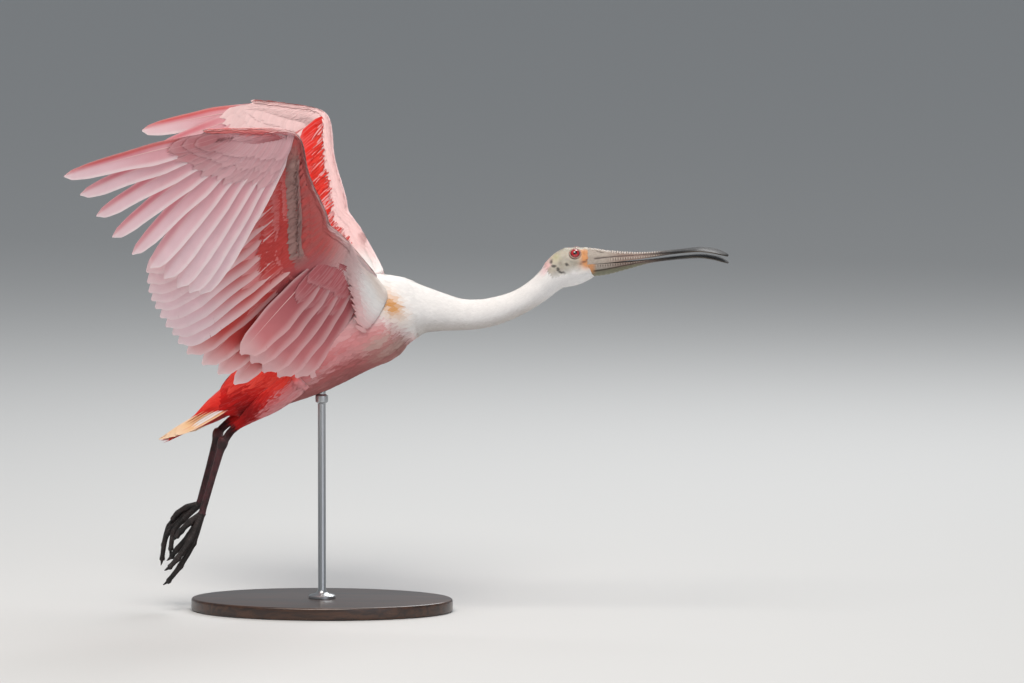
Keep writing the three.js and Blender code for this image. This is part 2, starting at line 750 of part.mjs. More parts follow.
spoonbill.add(standBaseMesh());
spoonbill.add(meshOf("stand_rod", rodSolid(), standSteel));

export default spoonbill;
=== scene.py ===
# Roseate spoonbill in flight on a display stand: the looks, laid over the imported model.
# Sizes are in millimetres and are those of the model's own source. Each finished piece is in metres.
import math

import bpy
import numpy as np
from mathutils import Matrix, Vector


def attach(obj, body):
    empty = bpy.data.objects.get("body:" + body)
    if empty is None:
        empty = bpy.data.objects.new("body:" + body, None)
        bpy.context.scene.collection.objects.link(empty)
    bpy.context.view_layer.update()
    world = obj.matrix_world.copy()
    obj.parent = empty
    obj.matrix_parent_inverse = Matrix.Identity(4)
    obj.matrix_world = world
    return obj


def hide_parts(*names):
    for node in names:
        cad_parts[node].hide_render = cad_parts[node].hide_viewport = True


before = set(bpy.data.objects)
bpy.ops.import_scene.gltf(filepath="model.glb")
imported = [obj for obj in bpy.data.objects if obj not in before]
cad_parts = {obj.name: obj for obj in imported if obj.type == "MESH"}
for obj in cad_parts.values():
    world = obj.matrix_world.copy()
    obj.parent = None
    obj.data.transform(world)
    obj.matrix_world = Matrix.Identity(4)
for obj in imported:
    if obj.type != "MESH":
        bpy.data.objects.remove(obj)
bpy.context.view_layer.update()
mm = 0.001
scene = bpy.context.scene
print("frame loaded")


def tone(hexText):  # an sRGB hex value as linear red, green and blue
    value = np.array([int(hexText[k:k + 2], 16) for k in (0, 2, 4)]) / 255
    return np.where(value <= 0.04045, value / 12.92, ((value + 0.055) / 1.055) ** 2.4)


def tones(hexTexts):
    return {name: tone(hexText) for name, hexText in hexTexts.items()}


palette = tones({
    "white": "F7F4F2", "blush": "F8D3D2", "palePink": "F3BFC0", "pink": "E58C8F", "rose": "DE7C86",
    "mauve": "B55D62", "greyMauve": "DDA9AE", "coral": "C9433F", "brightCoral": "DA5450", "red": "E52A20",
    "brightRed": "F2493C", "scarlet": "DB1712", "deepScarlet": "8E070B", "maroon": "8E4A46", "buff": "DB9A55",
    "paleBuff": "F3CB9A", "orange": "EBA468", "patagium": "C5625F", "ulnaGrey": "A88983",
    "shoulderGrey": "D9C2C1", "breastGrey": "CDB9AC", "neckShade": "AFA49C", "quill": "EBBDBB",
    "vanePale": "F4CCD3", "vaneEdge": "FBECEC", "headSkin": "B3AC9F", "headGreen": "9A9B80",
    "faceOrange": "D8935A", "foldShade": "6B4030", "earDark": "3E3A38", "napeYellow": "CFC98F",
    "lidPink": "A98377", "legDark": "3A1A1C",
})


def mixed(a, b, amount):
    amount = np.clip(np.asarray(amount, float), 0, 1)[..., None]
    return a * (1 - amount) + b * amount


def wash(tint, name, amount):  # a palette colour laid over a tint
    return mixed(tint, palette[name], amount)


def plain(name, count):
    return np.broadcast_to(palette[name], (count, 3))


def rise(x, low, high):  # 0 below low, 1 above high, smooth between them
    t = np.clip((np.asarray(x, float) - low) / (high - low), 0, 1)
    return t * t * (3 - 2 * t)


def spot(distance, width):
    return np.exp(-((distance / width) ** 2))


def unit(v):
    v = np.asarray(v, float)
    return v / np.maximum(np.linalg.norm(v, axis=-1, keepdims=True), 1e-9)


def curveAt(values, q):  # the value at share q of the way along a list, by a smooth curve through it
    values = np.asarray(values, float)
    count = len(values) - 1
    place = np.clip(np.asarray(q, float) * count, 0, count - 1e-9)
    i = place.astype(int)
    f = place - i
    if values.ndim > 1:
        f = f[..., None]
    before, start, end, after = (values[np.clip(i + k, 0, count)] for k in (-1, 0, 1, 2))
    return 0.5 * (2 * start + (end - before) * f + (2 * before - 5 * start + 4 * end - after) * f**2
                  + (3 * start - before - 3 * end + after) * f**3)


def gridOf(a, b):
    return np.meshgrid(a, b, indexing="ij")


def roundTurn(count):  # angles once round, without the last
    return np.linspace(0, 2 * math.pi, count + 1)[:-1]


# Meshes

def gridFaces(rows, columns, closed=False):
    i, j = gridOf(np.arange(rows - 1), np.arange(columns if closed else columns - 1))
    k = (j + 1) % columns
    corners = [i * columns + j, i * columns + k, (i + 1) * columns + k, (i + 1) * columns + j]
    return np.stack(corners, -1).reshape(-1, 4)


def volumeOf(points, faces):
    total = 0.0
    for size in (3, 4):
        same = np.array([face for face in faces if len(face) == size])
        if len(same):
            a = points[same[:, 0]]
            for k in range(1, size - 1):
                total += np.einsum("ij,ij->", a, np.cross(points[same[:, k]], points[same[:, k + 1]]))
    return total


def tube(rings):  # closed at both ends, faces out
    rows, columns, _ = rings.shape
    points = np.concatenate([rings.reshape(-1, 3), rings[:1].mean(1), rings[-1:].mean(1)])
    faces = gridFaces(rows, columns, closed=True).tolist()
    first, last = rows * columns, rows * columns + 1
    for j in range(columns):
        k = (j + 1) % columns
        faces.append([first, k, j])
        faces.append([last, (rows - 1) * columns + j, (rows - 1) * columns + k])
    if volumeOf(points, faces) < 0:
        faces = [face[::-1] for face in faces]
    return points, faces


def addPiece(name, points, faces, material=None):
    mesh = bpy.data.meshes.new(name)
    faces = faces if isinstance(faces, list) else faces.tolist()
    mesh.from_pydata((np.asarray(points) * mm).tolist(), [], faces)
    if material:
        mesh.materials.append(material)
    mesh.shade_smooth()
    piece = bpy.data.objects.new(name, mesh)
    scene.collection.objects.link(piece)
    return piece


def joined(parts):  # several (points, faces) as one
    points, faces, start = [], [], 0
    for somePoints, someFaces in parts:
        points.append(np.asarray(somePoints))
        faces += [[start + corner for corner in face] for face in someFaces]
        start += len(somePoints)
    return np.concatenate(points), faces


def colourPoints(piece, colours):
    layer = piece.data.color_attributes.new("tint", "FLOAT_COLOR", "POINT")
    values = np.ones((len(piece.data.vertices), 4))
    values[:, :3] = colours
    layer.data.foreach_set("color", values.ravel())


def mapPlaces(piece, name, places):  # a UV map from one place for each vertex
    layer = piece.data.uv_layers.new(name=name)
    corners = np.empty(len(piece.data.loops), dtype=np.int32)
    piece.data.loops.foreach_get("vertex_index", corners)
    layer.uv.foreach_set("vector", np.asarray(places, float)[corners].ravel())


def crisp(piece):  # smooth faces with hard rims
    piece.data.shade_smooth()
    piece.data.set_sharp_from_angle(angle=math.radians(50))


def settled(piece):  # the piece as its modifiers leave it, in a plain mesh
    graph = bpy.context.evaluated_depsgraph_get()
    shape = piece.evaluated_get(graph)
    mesh = bpy.data.meshes.new_from_object(shape, preserve_all_data_layers=True, depsgraph=graph)
    mesh.name = piece.name
    piece.modifiers.clear()
    old = piece.data
    piece.data = mesh
    bpy.data.meshes.remove(old)
    return piece


def finishPiece(piece, slot, *replaced):
    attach(piece, "root")
    if replaced:
        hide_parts(*replaced)
    return piece


# Materials

def addNode(tree, kind, inputs=None, **settings):
    node = tree.nodes.new(kind)
    for name, value in settings.items():
        setattr(node, name, value)
    for key, value in (inputs or {}).items():
        if isinstance(value, bpy.types.NodeSocket):
            tree.links.new(value, node.inputs[key])
        else:
            node.inputs[key].default_value = value
    return node


def colour(rgb):
    return (*rgb, 1.0)


def newFinish(name, roughness, **sockets):
    material = bpy.data.materials.new(name)
    material.use_nodes = True
    tree = material.node_tree
    shader = tree.nodes["Principled BSDF"]
    shader.inputs["Roughness"].default_value = roughness
    for key, value in sockets.items():
        shader.inputs[key.replace("_", " ")].default_value = value
    return material, tree, shader


def plainFinish(name, roughness, rgb):
    material, _, shader = newFinish(name, roughness)
    shader.inputs["Base Color"].default_value = colour(rgb)
    return material


def maths(tree, operation, a, b=0.0, clamp=False):
    return addNode(tree, "ShaderNodeMath", {0: a, 1: b}, operation=operation, use_clamp=clamp).outputs[0]


def span(tree, value, low, high, toLow=0.0, toHigh=1.0):
    inputs = {"Value": value, "From Min": low, "From Max": high, "To Min": toLow, "To Max": toHigh}
    return addNode(tree, "ShaderNodeMapRange", inputs, interpolation_type="SMOOTHSTEP").outputs["Result"]


def mixColour(tree, factor, a, b, blend="MIX"):
    inputs = {0: factor, 6: a, 7: b}
    return addNode(tree, "ShaderNodeMix", inputs, data_type="RGBA", blend_type=blend).outputs[2]


def objectPlace(tree, stretch=None):  # the point on the piece, drawn out if asked
    place = addNode(tree, "ShaderNodeTexCoord").outputs["Object"]
    if stretch:
        place = addNode(tree, "ShaderNodeMapping", {"Vector": place, "Scale": stretch}).outputs[0]
    return place


def paintedTint(tree):
    return addNode(tree, "ShaderNodeAttribute", attribute_name="tint").outputs["Color"]


def noise(tree, place, scale, detail=2.0, **more):
    inputs = {"Vector": place, "Scale": scale, "Detail": detail, **more}
    return addNode(tree, "ShaderNodeTexNoise", inputs).outputs["Fac"]


def shaded(tree, base, level):
    grey = addNode(tree, "ShaderNodeCombineXYZ", {0: level, 1: level, 2: level}).outputs[0]
    return mixColour(tree, 1.0, base, grey, "MULTIPLY")


def bumped(tree, height, strength, distance):
    inputs = {"Strength": strength, "Distance": distance, "Height": height}
    return addNode(tree, "ShaderNodeBump", inputs).outputs["Normal"]


def plumage(name, spec):
    # Keratin barbs side by side: matt, softly lit, and finely ribbed along each barb.
    material, tree, shader = newFinish(
        name, spec["roughness"], Sheen_Weight=spec["sheen"], Specular_IOR_Level=0.25,
        Subsurface_Weight=spec["glow"], Subsurface_Scale=0.002, Subsurface_Radius=(1.0, 0.85, 0.8))
    vane = addNode(tree, "ShaderNodeUVMap", uv_map="vane").outputs["UV"]
    split = addNode(tree, "ShaderNodeSeparateXYZ", {0: vane})
    across, along = split.outputs[0], split.outputs[1]
    off = maths(tree, "ABSOLUTE", maths(tree, "SUBTRACT", across, 0.5))
    barb = maths(tree, "SUBTRACT", along, maths(tree, "MULTIPLY", off, spec["slant"]))
    drift = noise(tree, objectPlace(tree), 1000 / spec["driftMm"], 3.0)
    wobble = maths(tree, "MULTIPLY", drift, spec["wobble"])
    phase = maths(tree, "ADD", maths(tree, "MULTIPLY", barb, spec["barbs"] * 2 * math.pi), wobble)
    ribs = maths(tree, "SINE", phase)
    edge = span(tree, off, 0.3, 0.5)
    tip = span(tree, along, 0.72, 1.0)
    pale = maths(tree, "MULTIPLY", maths(tree, "MAXIMUM", edge, tip), spec["edge"], True)
    base = mixColour(tree, pale, paintedTint(tree), colour(spec["edgeTone"]))
    shade = maths(tree, "ADD", maths(tree, "MULTIPLY", ribs, spec["ribShade"]), spec["level"])
    shade = maths(tree, "ADD", shade, maths(tree, "MULTIPLY", drift, spec["driftShade"]))
    root = span(tree, along, 0.0, 0.45, spec["rootShade"], 1.0)
    base = shaded(tree, base, maths(tree, "MULTIPLY", shade, root))
    shaft = span(tree, off, spec["shaft"] * 0.4, spec["shaft"], 1.0, 0.0)
    base = mixColour(tree, maths(tree, "MULTIPLY", shaft, spec["shaftMix"]), base, colour(spec["shaftTone"]))
    tree.links.new(base, shader.inputs["Base Color"])
    bump = bumped(tree, ribs, spec["bump"], 0.0004)
    if spec["soften"]:  # a small feather's own tilt counts less than that of the body under it
        out = addNode(tree, "ShaderNodeAttribute", attribute_name="out").outputs["Vector"]
        face = addNode(tree, "ShaderNodeNewGeometry").outputs["True Normal"]
        facing = addNode(tree, "ShaderNodeVectorMath", {0: face, 1: out}, operation="DOT_PRODUCT")
        amount = span(tree, facing.outputs["Value"], 0.1, 0.6, 0.0, spec["soften"])
        bump = addNode(tree, "ShaderNodeMix", {0: amount, 4: bump, 5: out}, data_type="VECTOR").outputs[1]
    tree.links.new(bump, shader.inputs["Normal"])
    return material


flightSpec = {
    "roughness": 0.62, "sheen": 0.06, "slant": 0.16, "barbs": 120, "driftMm": 16, "wobble": 5.0, "edge": 0.25,
    "edgeTone": palette["vaneEdge"], "ribShade": 0.02, "level": 0.93, "driftShade": 0.12, "rootShade": 0.96,
    "shaft": 0.012, "shaftMix": 0.0, "shaftTone": palette["quill"], "bump": 0.25, "soften": 0.0, "glow": 0.0,
}
covertSpec = {**flightSpec, "barbs": 34, "slant": 0.5, "ribShade": 0.025, "rootShade": 0.9, "shaft": 0.04,
              "shaftMix": 0.2, "edge": 0.12, "soften": 0.6}
bodySpec = {**covertSpec, "roughness": 0.8, "barbs": 16, "edge": 0.0, "ribShade": 0.03, "shaftMix": 0.1,
            "rootShade": 0.94, "soften": 0.85, "glow": 0.1}
velvetSpec = {**bodySpec, "barbs": 5, "ribShade": 0.02, "rootShade": 0.9, "shaftMix": 0.0, "level": 0.95}
hairSpec = {**bodySpec, "barbs": 8, "rootShade": 0.85, "roughness": 0.5, "shaftMix": 0.0, "level": 0.95,
            "soften": 0.6}

flightFinish = plumage("flight feather keratin", flightSpec)
covertFinish = plumage("covert feather keratin", covertSpec)
bodyFinish = plumage("contour feather down", bodySpec)
velvetFinish = plumage("neck velvet down", velvetSpec)
hairFinish = plumage("hair-like red plumes", hairSpec)


# Body plan: x, z, half height and half width, from the rump to the brow.
bodyPlan = np.array([
    (-113, 265, 27, 27), (-84, 283, 38, 38), (-56, 302, 48, 46), (-15, 327, 57, 53), (31, 354, 60, 55),
    (74, 372, 58.5, 50), (99, 379, 48.5, 41), (118, 380.5, 38.5, 34), (131, 380.5, 31.5, 28),
    (149, 378.5, 26.5, 24), (174, 375.5, 21.8, 20), (200, 376.3, 20, 19), (225, 382, 18.6, 17.8),
    (250, 392, 17, 16.6), (272, 406, 17, 16.4), (288, 420, 17.8, 16.8), (297, 428, 21.5, 17.8),
    (309, 435, 24.6, 19.2), (323, 438.5, 23.4, 19.4), (335, 441.4, 20.2, 16.4), (343, 443.4, 17, 14.4),
])
bodyEnd = len(bodyPlan) - 1
side = np.array([0.0, 1.0, 0.0])


def bodyAt(station, angle, inset=0.0):  # a point of the trunk, neck or head
    station, angle = np.broadcast_arrays(np.asarray(station, float), np.asarray(angle, float))
    here = curveAt(bodyPlan, station / bodyEnd)
    ahead = curveAt(bodyPlan, (station + 0.01) / bodyEnd)
    behind = curveAt(bodyPlan, (station - 0.01) / bodyEnd)
    line = unit(np.stack([ahead[..., 0] - behind[..., 0], ahead[..., 1] - behind[..., 1]], -1))
    centre = np.stack([here[..., 0], np.zeros_like(angle), here[..., 1]], -1)
    up = np.stack([-line[..., 1], np.zeros_like(angle), line[..., 0]], -1)
    wide = ((here[..., 3] - inset) * np.cos(angle))[..., None]
    high = ((here[..., 2] - inset) * np.sin(angle))[..., None]
    return centre + side * wide + up * high


def bodyOut(station, angle, inset):  # the outward normal
    back = bodyAt(station - 0.03, angle, inset) - bodyAt(station + 0.03, angle, inset)
    turn = bodyAt(station, angle + 0.03, inset) - bodyAt(station, angle - 0.03, inset)
    out = unit(np.cross(back, turn))
    inward = bodyAt(station, angle, inset + 5) - bodyAt(station, angle, inset)
    return np.where((np.einsum("...i,...i->...", out, inward) > 0)[..., None], -out, out)


# Scarlet behind a slanting line from the back to the vent, darkest at the vent, where the deep scarlet is
# partly the plumes' own colour and partly painted shade under the body.
def reddened(tint, point, streak):
    x, z = point[:, 0], point[:, 2]
    ahead = rise(x, -25, 15)
    behind = (-(x + 16 - 0.95 * (z - 304)) + 9 * (streak - 0.5)) * (1 - ahead) - 30 * ahead
    tint = wash(tint, "pink", 0.8 * rise(behind, -22, 0) * (1 - rise(behind, 0, 10)))
    red = wash(plain("scarlet", len(point)), "brightRed", rise(z, 275, 305) * (0.4 + 0.6 * streak))
    tint = mixed(tint, red, rise(behind, -4, 14))
    # Painted shade in part: deep scarlet at the vent, under the body.
    return wash(tint, "deepScarlet", 0.92 * spot(np.hypot(x + 82, z - 260), 25) * rise(behind, 0, 12))


def bodyTint(point, station, angle):
    x, z = point[:, 0], point[:, 2]
    low = -np.sin(angle)  # 1 under the belly, -1 on the back
    tint = wash(palette["palePink"], "pink", rise(low, -0.5, 0.5))
    # Painted shade: the trunk darkens to maroon on its underside, under the belly.
    tint = wash(tint, "maroon", 0.85 * rise(low, 0.3, 0.9) * (1 - rise(station, 6, 8)))
    tint = wash(tint, "blush", 0.75 * rise(-low, 0.1, 0.8))
    streak = 0.5 + 0.5 * np.sin(angle * 13 + station * 0.9 + 0.8 * np.sin(station * 3 + angle * 4))
    whiteFrom = 4.6 + 2.0 * low
    tint = wash(tint, "white", rise(station, whiteFrom, whiteFrom + 1.6))
    front = spot(x - 96, 26) * spot(z - 345, 20)
    tint = wash(tint, "breastGrey", 0.7 * front * (0.4 + 0.6 * streak))
    smudge = spot(x - 103 + 0.5 * (z - 390), 10.5) * spot(z - 390, 17) * rise(np.abs(point[:, 1]), 10, 22)
    tint = wash(tint, "buff", 1.0 * smudge)
    flank = spot(x - 14, 55) * rise(low, -0.5, 0.1) * (1 - rise(low, 0.6, 0.95))
    tint = wash(tint, "blush", 0.25 * flank * streak)
    mottle = 0.3 * flank * (1 - streak)
    tint = wash(tint, "coral", mottle * rise(station, 2.5, 4) * (1 - rise(station, 5, 6.2)))
    tint = reddened(tint, point, streak)
    # Painted shade: the lower side of the neck greyer.
    neck = rise(station, 7, 9) * (1 - rise(station, 13, 15))
    return wash(tint, "neckShade", 0.65 * rise(low, 0.1, 0.95) * neck)


# Dark marks at the ear: x, z, half length and half height.
earMarks = (
    (290, 444.5, 2.0, 3.2), (294, 438.5, 3.4, 1.7), (299.5, 434.5, 2.2, 2.6), (304.5, 430.8, 4.4, 1.5),
    (310.5, 440.8, 2.6, 1.8), (287.5, 449, 1.2, 2.4),
)


def blot(x, z, atX, atZ, wide, high):
    return np.exp(-((x - atX) / wide) ** 2 - ((z - atZ) / high) ** 2)


def marked(tint, point):  # the ragged dark marks round the ear, and the yellowish nape
    x, y, z = point[:, 0], np.abs(point[:, 1]), point[:, 2]
    tint = wash(tint, "napeYellow", 0.45 * blot(x, z, 295, 449.5, 6, 5.5) * rise(y, 2, 8))
    flush = blot(x, z, 285, 438, 8, 9) * (1 - rise(x - 0.6 * (z - 438), 286, 292))
    tint = wash(tint, "palePink", 0.7 * flush)
    for mark in earMarks:
        dark = rise(blot(x, z, *mark), 0.15, 0.6) * rise(y, 6, 12)
        tint = wash(tint, "earDark", 0.92 * dark)
    return tint


def headTint(point):
    x, y, z = point[:, 0], np.abs(point[:, 1]), point[:, 2]
    tint = np.broadcast_to(palette["headSkin"], point.shape).copy()
    tint = wash(tint, "headGreen", 0.12 * rise(z, 450, 464) * (1 - rise(x, 330, 345)))
    tint = wash(tint, "white", 0.85 * rise(436 - z + 0.3 * (x - 300), 0, 14))
    front = spot(np.hypot((x - 331.5) / 0.8, z - 457), 6.6)  # in front of the eye, down to the gape
    lower = spot(np.hypot((x - 337) / 1.25, (z - 440.5) / 0.8), 7)
    bridge = spot(np.hypot((x - 334) / 0.9, z - 449), 7)
    cheek = np.clip(front + lower + bridge, 0, 1) * rise(y, 4, 10)
    tint = wash(tint, "faceOrange", 0.95 * cheek)
    # Painted shade along the fold across the orange skin.
    line = (z - 441.9) - 0.54 * (x - 327.6)  # the dark fold across the orange
    onLine = rise(x, 325, 329) * (1 - rise(x, 341, 344)) * rise(y, 6, 10)
    tint = wash(tint, "foldShade", 0.85 * spot(line, 1.1) * onLine)
    return marked(tint, point)


# Wing plan: the right wing, in a plane set by the forearm's line and the underside's normal.
shoulder = np.array([62.5, -42, 417.3])
elbow = np.array([-14.1, -125, 462.3])
forearmLine = unit([-0.034, -0.344, 0.944])
underside = np.array([0.597, -0.76, -0.256])
underside = unit(underside - forearmLine * underside.dot(forearmLine))
rearward = unit(np.cross(underside, forearmLine))
handAngle = math.radians(72)
wingShoulder = np.array([(shoulder - elbow).dot(axis) for axis in (forearmLine, rearward, underside)])
wingElbow = np.zeros(3)
wingWrist = np.array([154.0, 0, 0])
wingHandTip = np.array([154 + 126 * math.cos(handAngle), 126 * math.sin(handAngle), 5])
humerusHeading = math.atan2(-wingShoulder[1], -wingShoulder[0])


def wingVector(place):  # along the forearm, towards the trailing edge, towards the underside
    place = np.asarray(place, float)
    return place[..., :1] * forearmLine + place[..., 1:2] * rearward + place[..., 2:3] * underside


def inWing(place):
    return elbow + wingVector(place)


def heading(angle):
    angle = np.asarray(angle, float)
    return np.stack([np.cos(angle), np.sin(angle), np.zeros_like(angle)], -1)


# Bones of the arm: their ends and headings.
armParts = {
    "hand": {"from": wingWrist, "to": wingHandTip},
    "forearm": {"from": wingWrist, "to": wingElbow},
    "upper": {"from": wingElbow, "to": wingShoulder},
}
# Rows of flight feathers, from the first to the last along the root line.
flightRows = {
    "primaries": {"part": "hand", "roots": (0.05, 0.97), "count": 10, "tilt": 5.2, "depth": 2, "step": 0.95,
                  "angles": [140.2, 137.5, 132, 124, 111.5, 98, 86], "lifts": [0, 1.1, 2, 2.7, 3.1, 3.3, 3.2],
                  "lengths": [219, 218, 210, 203, 203, 202, 214], "widths": [35, 34, 33, 32, 31, 30, 28]},
    "secondaries": {"part": "forearm", "roots": (0.04, 0.97), "count": 9, "tilt": 8, "depth": -4,
                    "step": -0.9,
                    "angles": [122.5, 121, 119.2, 119, 118.6], "lifts": [-7.2, -7.5, -7.8, -8, -8.1],
                    "lengths": [238, 233, 221, 207, 190], "widths": [44, 44, 43, 42, 40]},
    "tertials": {"part": "upper", "roots": (0.05, 0.49), "count": 4, "tilt": 3.8, "depth": -4, "step": -0.85,
                 "angles": [122.1, 125.6, 128.8, 132.5], "lifts": [-8.1, -8.2, -8.3, -8.4],
                 "lengths": [189, 190, 190, 191], "widths": [41, 41, 39, 36]},
    "axillaries": {"part": "upper", "roots": (0.3, 0.92), "count": 6, "tilt": 3.0, "depth": 6, "step": -0.75,
                   "angles": [128, 137, 146], "lifts": [-5, -7, -9],
                   "lengths": [152, 158, 140], "widths": [46, 44, 36]},
}


def layOut(row):
    part = armParts[row["part"]]
    laid = []
    for i in range(row["count"]):
        q = i / (row["count"] - 1)
        angle, lift = (math.radians(float(curveAt(row[key], q))) for key in ("angles", "lifts"))
        share = row["roots"][0] + (row["roots"][1] - row["roots"][0]) * q
        bone = part["from"] + (part["to"] - part["from"]) * share
        root = inWing(bone + (0, 0, row["depth"]))
        flat = math.cos(lift)
        line = wingVector([math.cos(angle) * flat, math.sin(angle) * flat, math.sin(lift)])
        tilt = math.radians(row["tilt"])
        flat = math.cos(tilt)
        across = wingVector([math.sin(angle) * flat, -math.cos(angle) * flat, -math.sin(tilt)])
        across = unit(across - line * across.dot(line))
        under = np.cross(across, line)
        if i:
            root = root + underside * (row["step"] - (root - laid[-1]["root"]).dot(laid[-1]["under"]))
        laid.append({"root": root, "line": line, "across": across, "under": under, "q": q,
                     "length": float(curveAt(row["lengths"], q)), "width": float(curveAt(row["widths"], q))})
    return laid


# Long feathers: a bowed shaft and two vanes of slanting barbs, split here and there along a barb.
vaneSpec = {
    "stations": 32, "columns": 6, "front": 0.36, "slant": 0.55, "bow": 0.012, "camber": 0.05,
    "slits": 0.9, "slitWidth": 0.8, "sink": 5, "shaftRadius": 1.0, "thickness": 0.28,
}
outlines = {
    "long": ([0, 0.06, 0.16, 0.45, 0.78, 0.9, 0.96, 1], [0.16, 0.42, 0.8, 1, 0.96, 0.78, 0.55, 0.06]),
    "finger": ([0, 0.06, 0.16, 0.42, 0.6, 0.85, 0.95, 1], [0.2, 0.5, 0.9, 1.02, 0.86, 0.7, 0.48, 0.05]),
    "broad": ([0, 0.1, 0.3, 0.6, 0.85, 0.95, 1], [0.3, 0.62, 0.9, 1, 0.86, 0.58, 0.08]),
}


def longFeather(feather, outline, draw, shade):
    # points, faces, places across and along, and tints of the vane, then points and faces of the shaft
    length, width = feather["length"] + vaneSpec["sink"], feather["width"]
    columns = vaneSpec["columns"]
    slits = np.sort(draw.uniform(0.35, 0.93, draw.poisson(vaneSpec["slits"])))
    along = np.sort(np.concatenate([np.linspace(0, 1, vaneSpec["stations"]) ** 0.94, slits, slits + 1e-6]))
    shares = np.linspace(-1, 1, 2 * columns + 1)
    s, a = gridOf(along, shares)
    stops, widths = outlines[outline]
    reach = np.where(a > 0, vaneSpec["front"], 1 - vaneSpec["front"]) * width
    aside = np.zeros_like(s)
    for _ in range(4):
        lag = vaneSpec["slant"] * np.abs(aside) * (1 - s * 0.3)
        aside = np.interp(s + lag / length, stops, widths) * reach * a
    place = s * length + vaneSpec["slant"] * np.abs(aside) * (1 - s * 0.3)
    aside = aside * (1 + 0.02 * np.sin(17 * s + draw.uniform(0, 6)) * np.abs(a))
    whole = np.ones((len(along) - 1, 2 * columns), bool)
    for slit in slits:
        k = int(np.searchsorted(along, slit))
        hand = draw.choice([-1, 1])
        inner = draw.uniform(0.55, 0.8)
        share = np.clip((shares * hand - inner) / (1 - inner), 0, 1)
        share = share * vaneSpec["slitWidth"] * draw.uniform(0.4, 1)
        place[k] -= share * 0.5
        place[k + 1] += share * 0.5
        whole[k, (share[1:] > 0) | (share[:-1] > 0)] = False
    bow = 4 * vaneSpec["bow"] * (s - s * s) * length
    drop = vaneSpec["camber"] * aside**2 / width * 2
    root = feather["root"] - feather["line"] * vaneSpec["sink"]
    points = (root + feather["line"] * place[..., None] + feather["across"] * (aside + bow)[..., None]
              + feather["under"] * drop[..., None]).reshape(-1, 3)
    faces = gridFaces(len(along), 2 * columns + 1)[whole.ravel()]
    places = np.stack([(a + 1) / 2, s], -1).reshape(-1, 2)
    tints = shade(feather, a.ravel(), np.clip(place / length, 0, 1).ravel())
    core = np.linspace(0, 1, 18)
    turns = np.arange(6) / 6 * 2 * math.pi
    thick = vaneSpec["shaftRadius"] * (1 - 0.86 * core)[:, None]
    middle = (root + feather["line"] * (core * length)[:, None]
              + feather["across"] * (4 * vaneSpec["bow"] * (core - core**2) * length)[:, None])
    ring = (middle[:, None] + feather["across"] * (np.cos(turns) * thick)[..., None]
            + feather["under"] * (np.sin(turns) * thick * 0.7)[..., None])
    return (points, faces, places, tints), tube(ring)


def mirroredSide(points, faces):
    return points * (1, -1, 1), [list(face)[::-1] for face in faces]


def buildLongFeathers(name, sets, material, slot, quill, mirror=False):
    # Every long feather of one wing, or of the tail, as one piece of closed vanes, with its shafts.
    sheets, shafts, places, tints, cells = [], [], [], [], []
    across = math.ceil(math.sqrt(sum(len(laid) for laid, *_ in sets)))
    for laid, outline, seed, shade in sets:
        draw = np.random.default_rng(seed)
        for feather in laid:
            kind = outline(feather) if callable(outline) else outline
            (points, faces, uv, tint), shaft = longFeather(feather, kind, draw, shade)
            corner = np.array([len(sheets) % across, len(sheets) // across]) / across
            sheets.append((points, faces.tolist()))
            shafts.append(shaft)
            places.append(uv)
            tints.append(tint)
            cells.append(corner + (uv * 0.9 + 0.05) / across)
    points, faces = joined(sheets)
    shaftPoints, shaftFaces = joined(shafts)
    if mirror:
        points, faces = mirroredSide(points, faces)
        shaftPoints, shaftFaces = mirroredSide(shaftPoints, shaftFaces)
    piece = addPiece(name, points, faces, material)
    colourPoints(piece, np.concatenate(tints))
    mapPlaces(piece, "vane", np.concatenate(places))
    mapPlaces(piece, "OFBake", np.concatenate(cells))
    solid = piece.modifiers.new("thickness", "SOLIDIFY")
    solid.thickness = vaneSpec["thickness"] * mm
    solid.offset = 0
    settled(piece)
    crisp(piece)
    finishPiece(piece, slot)
    finishPiece(addPiece(name + "Shafts", shaftPoints, shaftFaces, quill), slot)


def vaneTones(a, base="vanePale"):
    return plain(base, len(a))


def primaryTint(feather, a, v):
    q = feather["q"]
    # Painted shade in part: the front vane rose, partly its own colour and partly the shade where the next
    # feather overlaps it.
    rosy = rise(a, -0.3, 0.5) * rise(v, 0.25, 0.6) * (0.25 + 0.75 * rise(q, 0.1, 0.7))
    tint = wash(vaneTones(a), "rose", 0.95 * rosy)
    # Painted shade: the vane rosier towards its base.
    tint = wash(tint, "rose", 0.5 * (1 - rise(v, 0.35, 0.8)))
    lead = rise(a, 0.3, 0.8) * rise(q, 0.9, 1.0)
    tint = wash(tint, "brightCoral", lead * rise(v, 0.1, 0.3) * (1 - 0.6 * rise(v, 0.8, 1)))
    return wash(tint, "vaneEdge", 0.6 * rise(-a, 0.6, 0.98) + 0.5 * rise(v, 0.95, 1))


def secondaryTint(feather, a, v):
    q = feather["q"]
    tint = wash(vaneTones(a), "rose", 0.5 * rise(a, -0.1, 0.7) * (1 - rise(v, 0.85, 1)))
    tint = wash(tint, "coral", 0.95 * (1 - rise(v - 0.12 * a, 0.3 + 0.2 * q, 0.8 + 0.2 * q)))
    return wash(tint, "vaneEdge", 0.35 * rise(-a, 0.5, 0.98) + 0.4 * rise(v, 0.93, 1))


def tertialTint(feather, a, v):
    tint = wash(vaneTones(a, "palePink"), "coral", 1 - rise(v + 0.1 * np.abs(a), 0.75, 1.1))
    return wash(tint, "vaneEdge", 0.2 * rise(-a, 0.6, 0.98) + 0.4 * rise(v, 0.93, 1))


def axillaryTint(feather, a, v):
    tint = wash(vaneTones(a, "mauve"), "pink", 0.75 * rise(v, 0.35, 0.85))
    tint = wash(tint, "blush", 0.4 * rise(v, 0.75, 1.0))
    return wash(tint, "blush", 0.15 * rise(np.abs(a), 0.6, 0.98))


